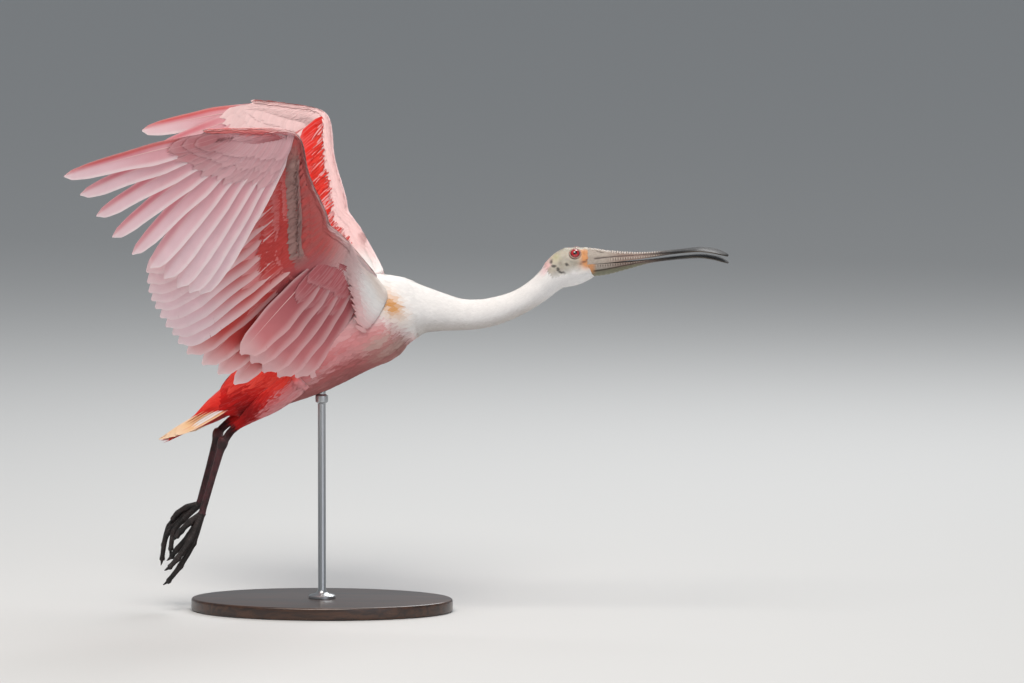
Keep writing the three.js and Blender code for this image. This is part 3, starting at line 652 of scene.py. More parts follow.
def tailTint(feather, a, v):
    tint = wash(vaneTones(a, "orange"), "paleBuff", 0.4 + 0.6 * rise(v, 0.5, 0.95))
    tint = wash(tint, "red", 1 - rise(v, 0.22, 0.36))
    streak = rise(a, -0.2, 0.2) * rise(v, 0.15, 0.25) * (1 - rise(v, 0.75, 0.95))
    return wash(tint, "white", 0.9 * streak * (0.55 < feather["q"] < 0.9))


# Horn of the shafts: smooth and even, with a soft shine.
quillMaterial = plainFinish("feather quill horn", 0.4, palette["quill"])
redQuillMaterial = plainFinish("red feather quill horn", 0.4, palette["brightCoral"])

laidRows = {name: layOut(row) for name, row in flightRows.items()}


def primaryOutline(feather):  # the outer ones narrow towards the tip
    return "finger" if feather["q"] > 0.55 else "long"


wingSets = [
    (laidRows["primaries"], primaryOutline, 11, primaryTint),
    (laidRows["secondaries"], "long", 12, secondaryTint),
    (laidRows["tertials"], "broad", 13, tertialTint),
    (laidRows["axillaries"], "broad", 14, axillaryTint),
]
buildLongFeathers("flightFeathersRight", wingSets, flightFinish, "pink_plumage", quillMaterial)
buildLongFeathers("flightFeathersLeft", wingSets, flightFinish, "pink_plumage", quillMaterial, mirror=True)
print("flight feathers built")


# Short feathers: one geometry-node tree sets a template on each point of a layer, along its lie, and bends
# it so that its tip comes down to the surface.
layerSpec = {"patch": 0.003, "kinds": 4, "camber": 0.05, "belly": 0.02, "sweep": 0.14}


def leafTemplate(name, stops, widths, ragged, draw):  # root at the origin, tip at y = 1, outer face up
    points, places, faces = [], [], []
    for s, wide in zip(stops, widths):
        tear = draw.uniform(-ragged, ragged, 3) * (0.4 < s < 1)
        for share, torn in zip((-0.5, 0, 0.5), tear):
            aside = abs(share)
            points.append((share * wide, s + torn - layerSpec["sweep"] * aside * s,
                           -layerSpec["camber"] * aside * wide))
            places.append((share + 0.5, s))
    rows = len(stops) - 1
    under = [1]
    for s in stops[1:-1]:
        under.append(len(points))
        points.append((0, s, -layerSpec["belly"] - layerSpec["camber"] * 0.25))
        places.append((0.5, s))
    under.append(3 * rows + 1)
    for i in range(rows):
        a, b = 3 * i, 3 * (i + 1)
        faces += [[a, a + 1, b + 1, b], [a + 1, a + 2, b + 2, b + 1]]
        faces += [[under[i], a, b, under[i + 1]], [a + 2, under[i], under[i + 1], b + 2]]
    piece = addPiece(name, np.array(points) / mm, [list(dict.fromkeys(face)) for face in faces])
    mapPlaces(piece, "vane", places)
    return piece


def leafFamily(name, stops, widths, ragged):
    group = bpy.data.collections.new(name)
    for k in range(layerSpec["kinds"]):
        draw = np.random.default_rng(50 + k)
        shape = np.array(widths) * draw.uniform(0.92, 1.08, len(widths))
        piece = leafTemplate(f"{name}{k}", stops, shape, ragged, draw)
        scene.collection.objects.unlink(piece)
        group.objects.link(piece)
    return group


families = {
    "contour": leafFamily("contourLeaf", [0, 0.3, 0.6, 0.85, 1], [0.5, 0.95, 1.0, 0.64, 0.12], 0.05),
    "covert": leafFamily("covertLeaf", [0, 0.25, 0.55, 0.8, 0.93, 1], [0.45, 0.85, 1.0, 0.94, 0.68, 0.24],
                         0.02),
    "silk": leafFamily("silkLeaf", [0, 0.3, 0.7, 1], [0.65, 1.0, 0.8, 0.14], 0.04),
    "hair": leafFamily("hairLeaf", [0, 0.4, 0.75, 1], [0.8, 1.0, 0.7, 0.1], 0.04),
    "tuft": leafFamily("velvetLeaf", [0, 0.55, 1], [0.8, 1.0, 0.3], 0.06),
}


def layerTree():
    tree = bpy.data.node_groups.new("feather layer", "GeometryNodeTree")
    sockets = [
        ("Geometry", "Geometry", None), ("Templates", "Collection", None), ("Size", "Float", 1.0),
        ("Bend", "Float", 1.0), ("Patch", "Float", layerSpec["patch"]), ("Material", "Material", None),
    ]
    for name, kind, value in sockets:
        socket = tree.interface.new_socket(name, in_out="INPUT", socket_type="NodeSocket" + kind)
        if value is not None:
            socket.default_value = value
    tree.interface.new_socket("Geometry", in_out="OUTPUT", socket_type="NodeSocketGeometry")
    given = addNode(tree, "NodeGroupInput").outputs

    def named(name, kind):
        node = addNode(tree, "GeometryNodeInputNamedAttribute", {"Name": name}, data_type=kind)
        return node.outputs["Attribute"]

    def scaled(vector, factor):
        node = addNode(tree, "ShaderNodeVectorMath", {0: vector, "Scale": factor}, operation="SCALE")
        return node.outputs[0]

    out = named("out", "FLOAT_VECTOR")
    vane = named("vane", "FLOAT_VECTOR")
    templates = addNode(tree, "GeometryNodeCollectionInfo", {
        "Collection": given["Templates"], "Separate Children": True, "Reset Children": True,
    })
    turn = addNode(tree, "FunctionNodeAxesToRotation", {
        "Primary Axis": named("lie", "FLOAT_VECTOR"), "Secondary Axis": out,
    }, primary_axis="Y", secondary_axis="Z")
    placed = addNode(tree, "GeometryNodeInstanceOnPoints", {
        "Points": given["Geometry"], "Instance": templates.outputs[0], "Pick Instance": True,
        "Instance Index": named("kind", "INT"), "Rotation": turn.outputs[0],
        "Scale": scaled(named("size", "FLOAT_VECTOR"), given["Size"]),
    })
    real = addNode(tree, "GeometryNodeRealizeInstances", {"Geometry": placed.outputs[0]})
    along = addNode(tree, "ShaderNodeSeparateXYZ", {0: vane}).outputs[1]
    arch = maths(tree, "MULTIPLY", maths(tree, "MULTIPLY", along, along), named("bend", "FLOAT"))
    bent = addNode(tree, "GeometryNodeSetPosition", {
        "Geometry": real.outputs[0], "Offset": scaled(out, maths(tree, "MULTIPLY", arch, given["Bend"])),
    })
    spread = addNode(tree, "ShaderNodeVectorMath", {
        0: scaled(vane, given["Patch"]), 1: named("rootPlace", "FLOAT_VECTOR"),
    })
    stored = addNode(tree, "GeometryNodeStoreNamedAttribute", {
        "Geometry": bent.outputs[0], "Name": "OFBake", "Value": spread.outputs[0],
    }, data_type="FLOAT2", domain="CORNER")
    done = addNode(tree, "GeometryNodeSetMaterial", {
        "Geometry": stored.outputs[0], "Material": given["Material"],
    })
    addNode(tree, "NodeGroupOutput", {0: done.outputs[0]})
    return tree


featherTree = layerTree()


def addLayer(name, layer, family, material, slot):
    values = {key: np.concatenate(parts) for key, parts in layer.items()}
    count = len(values["point"])
    mesh = bpy.data.meshes.new(name)
    mesh.from_pydata((values["point"] * mm).tolist(), [], [])
    place = np.pad(values["place"] * (1 - layerSpec["patch"]), ((0, 0), (0, 1)))
    vectorSets = {"lie": values["lie"], "out": values["out"], "size": values["size"] * mm, "rootPlace": place}
    for key, vectors in vectorSets.items():
        mesh.attributes.new(key, "FLOAT_VECTOR", "POINT").data.foreach_set("vector", vectors.ravel())
    mesh.attributes.new("bend", "FLOAT", "POINT").data.foreach_set("value", values["bend"].ravel() * mm)
    kinds = np.random.default_rng(count).integers(0, layerSpec["kinds"], count)
    mesh.attributes.new("kind", "INT", "POINT").data.foreach_set("value", kinds.astype(np.int32))
    tints = np.pad(values["tint"], ((0, 0), (0, 1)), constant_values=1.0)
    mesh.attributes.new("tint", "FLOAT_COLOR", "POINT").data.foreach_set("color", tints.ravel())
    piece = bpy.data.objects.new(name, mesh)
    scene.collection.objects.link(piece)
    modifier = piece.modifiers.new("feathers", "NODES")
    modifier.node_group = featherTree
    given = {
        "Templates": families[family], "Size": 1.0, "Bend": 1.0, "Patch": layerSpec["patch"],
        "Material": material,
    }
    for item in featherTree.interface.items_tree:
        if item.in_out == "INPUT" and item.name in given:
            modifier[item.identifier] = given[item.name]
    settled(piece)
    piece.data.materials.clear()  # drops the empty slot that the bare templates bring
    piece.data.materials.append(material)
    crisp(piece)
    finishPiece(piece, slot)
    print(f"{name}: {count} feathers, {len(piece.data.polygons)} faces")
    return piece


def newLayer():
    return {key: [] for key in ("point", "lie", "out", "size", "bend", "tint", "place")}


def put(layer, count, **values):
    for key, value in values.items():
        layer[key].append(np.broadcast_to(value, (count, np.shape(value)[-1])))


def sized(count, width, length, draw, spread=0.1):
    sizes = np.tile([width, length, width], (count, 1)).astype(float)
    return sizes * draw.uniform(1 - spread, 1 + spread, (count, 3))


def varied(tints, draw, amount=0.04):
    return np.clip(tints * draw.uniform(1 - amount, 1 + amount, (len(tints), 1)), 0, 1)


def shared(q, angle):  # a place on the unwrapped surface
    return np.stack([(angle / (2 * math.pi)) % 1, np.clip(q, 0, 1)], -1)


def frameOn(at, u, angle, inset):  # point and outward normal of a surface, and its line of growing u
    step = 0.01
    point = at(u, angle, inset)
    along = at(u + step, angle, inset) - at(u - step, angle, inset)
    turn = at(u, angle + step, inset) - at(u, angle - step, inset)
    out = unit(np.cross(along, turn))
    outward = at(u, angle, inset - 2) - point
    out = out * np.sign(np.einsum("...i,...i->...", out, outward))[..., None]
    return point, out, unit(along)


# Feathers on a surface at(u, angle, inset). The tip of each is found by walking its length over the surface,
# and one that can't lie down is shortened.
def layDown(layer, at, u, angle, inset, lie, sizes, tint, lift, draw, most=0.3, splay=0.08):
    count = len(u)
    point, out, _ = frameOn(at, u, angle, inset)
    lie = unit(lie - out * np.einsum("ij,ij->i", lie, out)[:, None])
    lie = unit(lie + np.cross(out, lie) * draw.normal(0, splay, (count, 1)))
    length = sizes[:, 1]
    walkU, walkAngle, steps, small = u.copy(), angle.copy(), 5, 0.004
    for _ in range(steps):
        here = at(walkU, walkAngle, inset)
        byU = (at(walkU + small, walkAngle, inset) - here) / small
        byAngle = (at(walkU, walkAngle + small, inset) - here) / small
        pairs = ((byU, byU), (byU, byAngle), (byAngle, byAngle), (byU, lie), (byAngle, lie))
        uu, ua, aa, ul, al = (np.einsum("ij,ij->i", p, q) for p, q in pairs)
        scale = length / steps / np.maximum(uu * aa - ua * ua, 1e-6)
        walkU = walkU + (aa * ul - ua * al) * scale
        walkAngle = walkAngle + (uu * al - ua * ul) * scale
    fall = np.einsum("ij,ij->i", at(walkU, walkAngle, inset) - point, out)
    fit = np.clip(most * length / np.maximum(np.abs(fall), 1e-6), 0.3, 1)
    sizes = sizes * np.stack([np.ones(count), fit, np.ones(count)], -1)
    bend = np.clip(fall, -most * length, most * length) * fit
    put(layer, count, point=point, lie=unit(lie + out * lift), out=out, size=sizes, bend=bend[:, None],
        tint=varied(tint, draw), place=shared(u / u.max(), angle))


def nextRow(at, u, angle, gap):  # the place of the next row, a gap in millimetres further on
    ahead = at(u + 0.1, angle) - at(u, angle)
    return u + 0.1 * gap / max(np.linalg.norm(ahead), 0.5)


# Trunk and neck: rows of feathers round the body, each row a little shorter towards the head.
coatSpec = {
    "stations": [0, 2, 5, 6.5, 7.4, 8.4, 10, 14, 15.4, 19.4],
    "lengths": [28, 28, 24, 16, 13, 10, 8, 6, 4.5, 3.2],
    "widths": [9.5, 9.5, 8.5, 6.5, 5.2, 3.8, 2.6, 2.0, 1.8, 1.5],
    "rowGaps": [5, 5, 4.6, 3.6, 3.0, 2.4, 1.9, 1.6, 1.4, 1.2],
    "insets": [3.5, 4, 4, 3.6, 3.2, 2.6, 2.0, 1.4, 0.8, 0.3],
    "splay": 0.1, "lift": 0.03, "trunkTo": 7.0, "neckSplit": 11.2, "crowd": 0.62, "last": 19.3,
}


def coatAt(key, station):
    return np.interp(station, coatSpec["stations"], coatSpec[key])


def bodyRows():
    draw = np.random.default_rng(21)
    layers = {"bodyFeathers": newLayer(), "neckFeathersLow": newLayer(), "neckFeathersHigh": newLayer()}
    station = 0.1
    shift = 0.0
    while station < coatSpec["last"]:
        inset = coatAt("insets", station)
        wide = coatAt("widths", station)
        ring = bodyAt(station, np.linspace(0, 2 * math.pi, 33), inset)
        around = np.linalg.norm(np.diff(ring, axis=0), axis=1).sum()
        count = int(around / (wide * coatSpec["crowd"]))
        angle = (np.arange(count) + shift) / count * 2 * math.pi + draw.normal(0, 0.8 / count, count)
        stations = station + draw.normal(0, 0.02, count)
        limit = 15.5 + 3.8 * rise(-np.sin(angle), 0.0, 0.75) + draw.normal(0, 0.16, count)  # the bare face
        stations, angle = stations[stations < limit], angle[stations < limit]
        count = len(stations)
        back = bodyAt(stations - 0.03, angle, inset) - bodyAt(stations + 0.03, angle, inset)
        tint = marked(bodyTint(bodyAt(stations, angle), stations, angle), bodyAt(stations, angle))
        name = "bodyFeathers"
        if station > coatSpec["trunkTo"]:
            name = "neckFeathersLow" if station < coatSpec["neckSplit"] else "neckFeathersHigh"
        sizes = sized(count, wide, coatAt("lengths", station), draw)
        layDown(layers[name], bodyAt, stations, angle, inset, unit(back), sizes, tint, coatSpec["lift"], draw,
                splay=coatSpec["splay"])
        station = nextRow(bodyAt, station, 0.0, coatAt("rowGaps", station))
        shift = 0.5 - shift
    return layers


for name, layer in bodyRows().items():
    onTrunk = name == "bodyFeathers"
    addLayer(name, layer, "contour" if onTrunk else "tuft", bodyFinish if onTrunk else velvetFinish,
             "pink_plumage" if onTrunk else "white_plumage")


# The arm: rings through the flesh from the armpit to the tip of the hand, with their place, heading, reach
# ahead, reach behind and thickness. The last number is how far the coat reaches ahead of the flesh.
def armPlan():
    insideArm = shoulder + (2, 24, -3) - elbow
    inside = np.array([insideArm.dot(axis) for axis in (forearmLine, rearward, underside)])

    def between(a, b, q):
        return a + (b - a) * q

    return [
        (inside, humerusHeading, (10, 30, 34), 0), (wingShoulder, humerusHeading, (9, 32, 30), 8),
        (between(wingShoulder, wingElbow, 0.5), humerusHeading, (30, 18, 26), 9),
        (wingElbow, humerusHeading / 2, (47, 12, 21), 6),
        (between(wingElbow, wingWrist, 0.33), 0.0, (36, 11, 19), 4),
        (between(wingElbow, wingWrist, 0.67), 0.0, (21, 11, 17), 1),
        (wingWrist, handAngle / 2, (11, 10, 16), 0),
        (between(wingWrist, wingHandTip, 0.5), handAngle, (14, 10, 14), 0),
        (wingHandTip, handAngle, (11, 6, 10), 0),
    ]


armRings = armPlan()
armLast = len(armRings) - 1
armBones = np.array([inWing(place) for place, *_ in armRings])
armAheads = np.array([wingVector([math.sin(turn), -math.cos(turn), 0]) for _, turn, *_ in armRings])
armSizes = np.array([size for *_, size, _ in armRings], float)
armExtras = np.array([extra for *_, extra in armRings], float)


# Flesh of the arm. w runs from 0 at the armpit to 8. Angle 0 is the leading edge, 90 degrees the underside.
def fleshAt(w, angle, inset=0.0):
    w, angle = np.broadcast_arrays(np.asarray(w, float), np.asarray(angle, float))
    ahead, behind, thick = np.moveaxis(curveAt(armSizes, w / armLast), -1, 0)
    aheadLine = unit(curveAt(armAheads, w / armLast))
    reach = (ahead - behind) / 2 + ((ahead + behind) / 2 - inset) * np.cos(angle)
    return (curveAt(armBones, w / armLast) + aheadLine * reach[..., None]
            + underside * ((thick / 2 - inset) * np.sin(angle))[..., None])


# The coat's face on the arm falls behind the flesh to the level of the long feathers. Levels and slopes run
# from the armpit to the hand's tip, for the underside and for the back of the wing.
vaneLevels = {1: [8, 8, 4, -1, -1.5, -1.5, 2, 4, 4], -1: [6.5, 6.5, 6.5, 6.5, 6.5, 6.5, 3, 1, 1]}
vaneSlopes = {1: [-0.13] * 6 + [-0.04, 0.04, 0.04], -1: [0.13] * 6 + [0.04, -0.04, -0.04]}


def shareRound(angle):  # 0 at the leading edge, 0.5 over the bone, and more out on the vanes
    turn = np.abs(angle)
    return np.where(turn < math.pi / 2, (1 - np.cos(turn)) / 2, 0.5 + (turn - math.pi / 2) / 2)


# Coat of the arm. Angle 0 is the leading edge, and it grows over the underside and out on the vanes.
def armAt(w, angle, inset=0.0):
    w, angle = np.broadcast_arrays(np.asarray(w, float), np.asarray(angle, float))
    q = w / armLast
    ahead, behind, thick = np.moveaxis(curveAt(armSizes, q), -1, 0)
    ahead = ahead + curveAt(armExtras, q)
    share = shareRound(angle)
    back = share * (ahead + behind - inset) - ahead + inset  # distance behind the bone
    hand = np.where(angle < 0, -1, 1)
    stops = range(armLast + 1)
    level, slope = (np.where(hand > 0, np.interp(w, stops, table[1]), np.interp(w, stops, table[-1]))
                    for table in (vaneLevels, vaneSlopes))
    level = (level + slope * np.maximum(back, 0)) * rise(share, 0.5, 1.3)
    arch = np.sin(np.minimum(np.abs(angle), math.pi / 2))
    high = thick / 2 * np.where(share < 0.5, arch, 1 - rise(share, 0.5, 1.35)) - inset * arch
    forearm = rise(w, 2.7, 3.3) * (1 - rise(w, 5.2, 5.9)) * (hand > 0)
    knobs = 1 + 0.18 * np.sin(w * 30) * np.sin(w * 11 + 1)
    ridge = 4.4 * knobs * spot(back - 1, 4.4) - 3.2 * spot(back + 7.5, 3.2) - 1.6 * spot(back - 9, 3.0)
    high = high + level + forearm * ridge
    aheadLine = unit(curveAt(armAheads, q))
    return curveAt(armBones, q) - aheadLine * back[..., None] + underside * (hand * high)[..., None]


# Headings of the small feathers along the arm, from the armpit to the hand's tip, like the long ones under
# them.
lieAngles = np.radians([146, 140, 128, 122, 118, 120, 128, 112, 84])


def backOf(w, angle):  # how far behind the bone, in millimetres
    ahead, behind, _ = np.moveaxis(curveAt(armSizes, w / armLast), -1, 0)
    share = shareRound(angle)
    return share * (ahead + behind) - ahead, share


def underTint(w, angle):  # underside
    back, share = backOf(w, angle)
    tint = plain("patagium", len(w))
    band = 0.5 + 0.5 * np.sin(w * 26 + 2 * np.sin(w * 5))
    tint = wash(tint, "coral", 0.55 * band * rise(share, 0.05, 0.3))
    tint = wash(tint, "maroon", 0.3 * (1 - band) * rise(share, 0.1, 0.3))
    onForearm = rise(w, 2.5, 3.1) * (1 - rise(w, 5.4, 6.0))
    ridge = rise(back, -6, -2) * (1 - rise(back, 5, 9))
    tint = wash(tint, "ulnaGrey", 0.9 * ridge * onForearm)
    behind = rise(back, 6, 10) * rise(w, 1.6, 2.6) * (1 - rise(w, 5.9, 6.4))
    tint = wash(tint, "coral", 0.95 * behind)
    tint = wash(tint, "mauve", 0.85 * (1 - rise(w, 2.4, 3.2)) * rise(share, 0.25, 0.6))
    handTone = mixed(palette["mauve"], palette["greyMauve"], rise(w, 6.2, 7.3))
    tint = mixed(tint, handTone, 0.9 * rise(w, 5.8, 6.4))
    tint = wash(tint, "shoulderGrey", 0.95 * (1 - rise(w, 1.4, 2.8)) * (1 - rise(share, 0.35, 0.9)))
    tint = wash(tint, "white", 0.9 * (1 - rise(w, 0.5, 1.3)))
    tint = wash(tint, "blush", 0.85 * (1 - rise(share, 0.01, 0.05)))
    return wash(tint, "brightCoral", 0.7 * rise(w, 6.2, 6.8) * (1 - rise(share, 0.06, 0.2)))


def upperTint(w, angle):  # dorsal side
    back, share = backOf(w, angle)
    tint = wash(palette["blush"], "palePink", 0.35 * rise(share, 0.2, 0.9) * (1 - rise(w, 5.5, 6.3)))
    patch = rise(w, 1.6, 2.4) * (1 - rise(w, 5.2, 6.0)) * rise(share, 0.3, 0.36)
    tint = wash(tint, "red", 0.9 * patch)
    return wash(tint, "white", 0.8 * (1 - rise(w, 0.6, 1.8)))


def armLies(w, draw, spread):
    way = np.interp(w, range(armLast + 1), lieAngles) + draw.normal(0, spread, len(w))
    return wingVector(heading(way))


armSpec = {
    "rowGap": 2.7, "crowd": 2.6, "shares": [0, 0.25, 0.7, 1.2, 1.6], "widths": [3.8, 4.4, 5.6, 8, 10],
    "lengths": [10, 12, 16, 24, 30], "inset": 1.6, "lift": 0.02, "reach": 3.3, "most": 0.15,
    "edgeRows": 9, "edgeReach": 0.55, "edgeGap": 2.4, "edgeWidth": 5.0, "edgeLength": 15, "edgeInset": 1.0,
}


def armRows():
    draw = np.random.default_rng(31)
    layers = {"under": newLayer(), "upper": newLayer()}
    w = 0.3
    shift = 0.0
    while w < armLast - 0.03:
        for name, hand in (("under", 1), ("upper", -1)):
            around = hand * np.linspace(0, armSpec["reach"], 61)
            ring = armAt(w, around, armSpec["inset"])
            paces = np.concatenate([[0], np.cumsum(np.linalg.norm(np.diff(ring, axis=0), axis=1))])
            count = int(paces[-1] / armSpec["crowd"])
            angle = np.interp((np.arange(count) + shift) / count * paces[-1], paces, np.abs(around)) * hand
            ws = np.clip(w + draw.normal(0, 0.012, count), 0, armLast)
            tint = underTint(ws, angle) if hand > 0 else upperTint(ws, angle)
            share = backOf(ws, angle)[1]
            wide, long = (np.interp(share, armSpec["shares"], armSpec[key]) for key in ("widths", "lengths"))
            sizes = np.stack([wide, long, wide], -1) * draw.uniform(0.9, 1.1, (count, 3))
            onward = unit(armAt(np.minimum(ws + 0.05, armLast), angle) - armAt(ws - 0.05, angle))
            atEdge = spot(angle, 0.5)[:, None]  # along the leading edge, not round it
            lie = armLies(ws, draw, 0.05) * (1 - atEdge) + onward * atEdge
            layDown(layers[name], armAt, ws, angle, armSpec["inset"], unit(lie), sizes, tint,
                    armSpec["lift"], draw, most=armSpec["most"])
        w = nextRow(armAt, w, 1.5, armSpec["rowGap"])
        shift = 0.5 - shift
    return layers


def edgeRows(layers):  # close-set feathers that run along the leading edge and cover the parting there
    draw = np.random.default_rng(32)
    w = 0.6
    while w < armLast - 0.15:
        count = armSpec["edgeRows"]
        angle = np.linspace(-1, 1, count) * armSpec["edgeReach"] + draw.normal(0, 0.03, count)
        ws = w + draw.normal(0, 0.01, count)
        onward = armAt(np.minimum(ws + 0.05, armLast), angle) - armAt(ws - 0.05, angle)
        lie = unit(unit(onward) + armLies(ws, draw, 0.05) * 0.35)
        sizes = sized(count, armSpec["edgeWidth"], armSpec["edgeLength"], draw)
        tint = np.where((angle > 0)[:, None], underTint(ws, angle), upperTint(ws, angle))
        layDown(layers["upper"], armAt, ws, angle, armSpec["edgeInset"], lie, sizes, tint,
                armSpec["lift"], draw, most=armSpec["most"])
        w = nextRow(armAt, w, 0.0, armSpec["edgeGap"])


# The scarlet patch: hair-like plumes on the upper side, between two places along the arm and round it.
plumeSpec = {
    "count": 3200, "along": (1.5, 5.8), "round": (0.27, 1.6), "width": 1.6, "length": 24, "spread": 0.35,
    "inset": 0.6, "lift": 0.03,
}


def redPlumes():
    draw = np.random.default_rng(33)
    layer = newLayer()
    count = plumeSpec["count"]
    w = draw.uniform(*plumeSpec["along"], count)
    share = draw.uniform(*plumeSpec["round"], count) + draw.normal(0, 0.03, count)
    onArm = np.arccos(1 - 2 * np.minimum(share, 0.5))
    angle = -np.where(share < 0.5, onArm, math.pi / 2 + 2 * (share - 0.5))
    tint = wash(plain("red", count), "brightRed", draw.uniform(0, 1, count))
    paler = draw.uniform(0, 1, count) < 0.03 + 0.45 * (1 - rise(share, 0.27, 0.4))
    tint = wash(tint, "palePink", 0.75 * paler)
    sizes = sized(count, plumeSpec["width"], plumeSpec["length"], draw, plumeSpec["spread"])
    layDown(layer, armAt, w, angle, plumeSpec["inset"], armLies(w, draw, 0.06), sizes, tint,
            plumeSpec["lift"], draw)
    return layer


# The shoulder: soft feathers run from the side of the trunk out on the arm. Angle -1 is above, 1 below.
shoulderSpec = {
    "stations": (4.5, 1.2), "around": (-80, 92), "arm": 1.8, "armAngles": (-1.35, 2.6), "rows": 22,
    "across": 58, "width": 5.5, "length": 17, "inset": 0.8, "lift": 0.02, "most": 0.15,
    "sweep": (-0.8, 0, -0.25), "trunkStation": 5.4, "trunkLevel": 366, "trunkHeight": 60,
}


def shoulderTurn(share):  # the angle on the arm, from above to below
    return shoulderSpec["armAngles"][0] + shoulderSpec["armAngles"][1] * share


def shoulderAt(u, angle, inset=0.0):
    share = (np.asarray(angle, float) + 1) / 2
    start, bulge = shoulderSpec["stations"]
    stations = start + bulge * np.sin(np.clip(share, 0, 1) * math.pi)
    around = math.pi + np.radians(shoulderSpec["around"][0] + shoulderSpec["around"][1] * share)
    onTrunk = bodyAt(stations, around, inset + 1)
    onArm = armAt(shoulderSpec["arm"], shoulderTurn(share), inset)
    u = np.asarray(u, float)[..., None]
    return onTrunk * (1 - u) + onArm * u


def shoulderLayer():
    draw = np.random.default_rng(34)
    layer = newLayer()
    rows, count, inset = (shoulderSpec[key] for key in ("rows", "across", "inset"))
    for i in range(rows):
        angle = ((np.arange(count) + 0.5 * (i % 2)) / count * 2 - 1) * 0.97 + draw.normal(0, 0.01, count)
        u = np.clip(i / (rows - 1) * 0.92 + draw.normal(0, 0.01, count), 0, 0.95)
        along = frameOn(shoulderAt, u, angle, inset)[2]
        edge = shoulderAt(np.zeros(count), angle)
        level = np.clip((edge[:, 2] - shoulderSpec["trunkLevel"]) / shoulderSpec["trunkHeight"], -1, 1)
        onBody = bodyTint(edge, np.full(count, shoulderSpec["trunkStation"]), np.arcsin(level))
        turn = shoulderSpec["armAngles"][0] + shoulderSpec["armAngles"][1] * (angle + 1) / 2
        ws = np.full(count, shoulderSpec["arm"])
        onArm = np.where((turn > 0)[:, None], underTint(ws, turn), upperTint(ws, turn))
        tint = mixed(onBody, onArm, rise(u, 0.2, 0.9))
        sizes = sized(count, shoulderSpec["width"], shoulderSpec["length"], draw)
        layDown(layer, shoulderAt, u, angle, inset, unit(along + shoulderSpec["sweep"]), sizes, tint,
                shoulderSpec["lift"], draw, most=shoulderSpec["most"])
    return layer


def rowAt(laid, t):  # the place and directions between two long feathers of a row
    t = np.clip(np.asarray(t, float), 0, len(laid) - 1.0001)
    i = t.astype(int)
    f = (t - i)[:, None]
    values = {}
    for key in ("root", "line", "across", "under", "length", "width"):
        table = np.array([np.atleast_1d(feather[key]) for feather in laid])
        values[key] = table[i] * (1 - f) + table[i + 1] * f
    return values


# Rows of coverts: on which long feathers, side (1 is the underside), how many, their length and width in
# millimetres, how far off the vanes they lie, and their tint.
covertRows = [
    ("secondaries", 1, 30, 96, 19, 0.9, "streamer"), ("secondaries", 1, 34, 72, 17, 1.7, "coral"),
    ("secondaries", 1, 40, 46, 14, 2.7, "coral"), ("secondaries", 1, 44, 30, 12, 3.8, "coral"),
    ("secondaries", -1, 26, 96, 24, 0.9, "pale"), ("secondaries", -1, 32, 66, 19, 1.8, "pale"),
    ("secondaries", -1, 40, 42, 15, 3.0, "red"), ("primaries", 1, 24, 78, 21, 2.0, "hand"),
    ("primaries", 1, 30, 56, 17, 3.0, "hand"), ("primaries", 1, 36, 38, 14, 4.2, "hand"),
    ("primaries", -1, 24, 80, 20, 0.9, "pale"), ("primaries", -1, 30, 52, 16, 1.8, "pale"),
    ("primaries", -1, 38, 34, 12, 3.0, "pale"), ("tertials", -1, 18, 100, 28, 0.9, "pale"),
    ("tertials", -1, 24, 66, 20, 2.0, "pale"), ("tertials", 1, 18, 110, 24, 0.9, "coral"),
    ("tertials", 1, 22, 74, 20, 1.8, "coral"), ("tertials", 1, 26, 46, 16, 2.8, "coral"),
    ("axillaries", 1, 20, 70, 18, 1.2, "arm"), ("axillaries", 1, 24, 40, 14, 2.4, "arm"),
]
covertTones = {
    "streamer": "coral", "coral": "coral", "pale": "blush", "hand": "greyMauve", "arm": "mauve", "red": "red",
}
covertPlan = {"rootBack": 10, "stand": 0.6, "armpitShare": 0.72, "turns": 6.2}


def covertLayer():
    draw = np.random.default_rng(41)
    layer = newLayer()
    for number, (on, hand, count, length, width, off, kind) in enumerate(covertRows):
        laid = laidRows[on]
        last = (len(laid) - 1) * (covertPlan["armpitShare"] if on == "axillaries" else 1)
        t = np.linspace(0, last, count) + draw.normal(0, 0.03, count)
        at = rowAt(laid, t)
        out = at["under"] * hand
        root = at["root"] - at["line"] * covertPlan["rootBack"] + out * (off + covertPlan["stand"])
        lie = unit(at["line"] + at["across"] * draw.normal(0, 0.03, (count, 1)) + out * 0.004)
        tint = plain(covertTones[kind], count)
        if kind == "streamer":
            tint = wash(tint, "pink", draw.uniform(0.2, 0.8, count))
        if kind == "hand":  # darker towards the wrist
            darker = 0.15 * draw.uniform(0, 1, count) + 0.6 * rise(t / t.max(), 0.5, 1.0)
            tint = wash(tint, "mauve", darker)
        sizes = sized(count, width, length, draw, 0.06)
        tint = varied(tint, draw, 0.05)
        place = shared(np.full(count, number / len(covertRows)), t / t.max() * covertPlan["turns"])
        put(layer, count, point=root, lie=lie, out=out, size=sizes, bend=[[0.0]], tint=tint, place=place)
    return layer


def mirroredLayer(layer):
    flipped = dict(layer)
    for key in ("point", "lie", "out"):
        flipped[key] = [part * (1, -1, 1) for part in layer[key]]
    return flipped


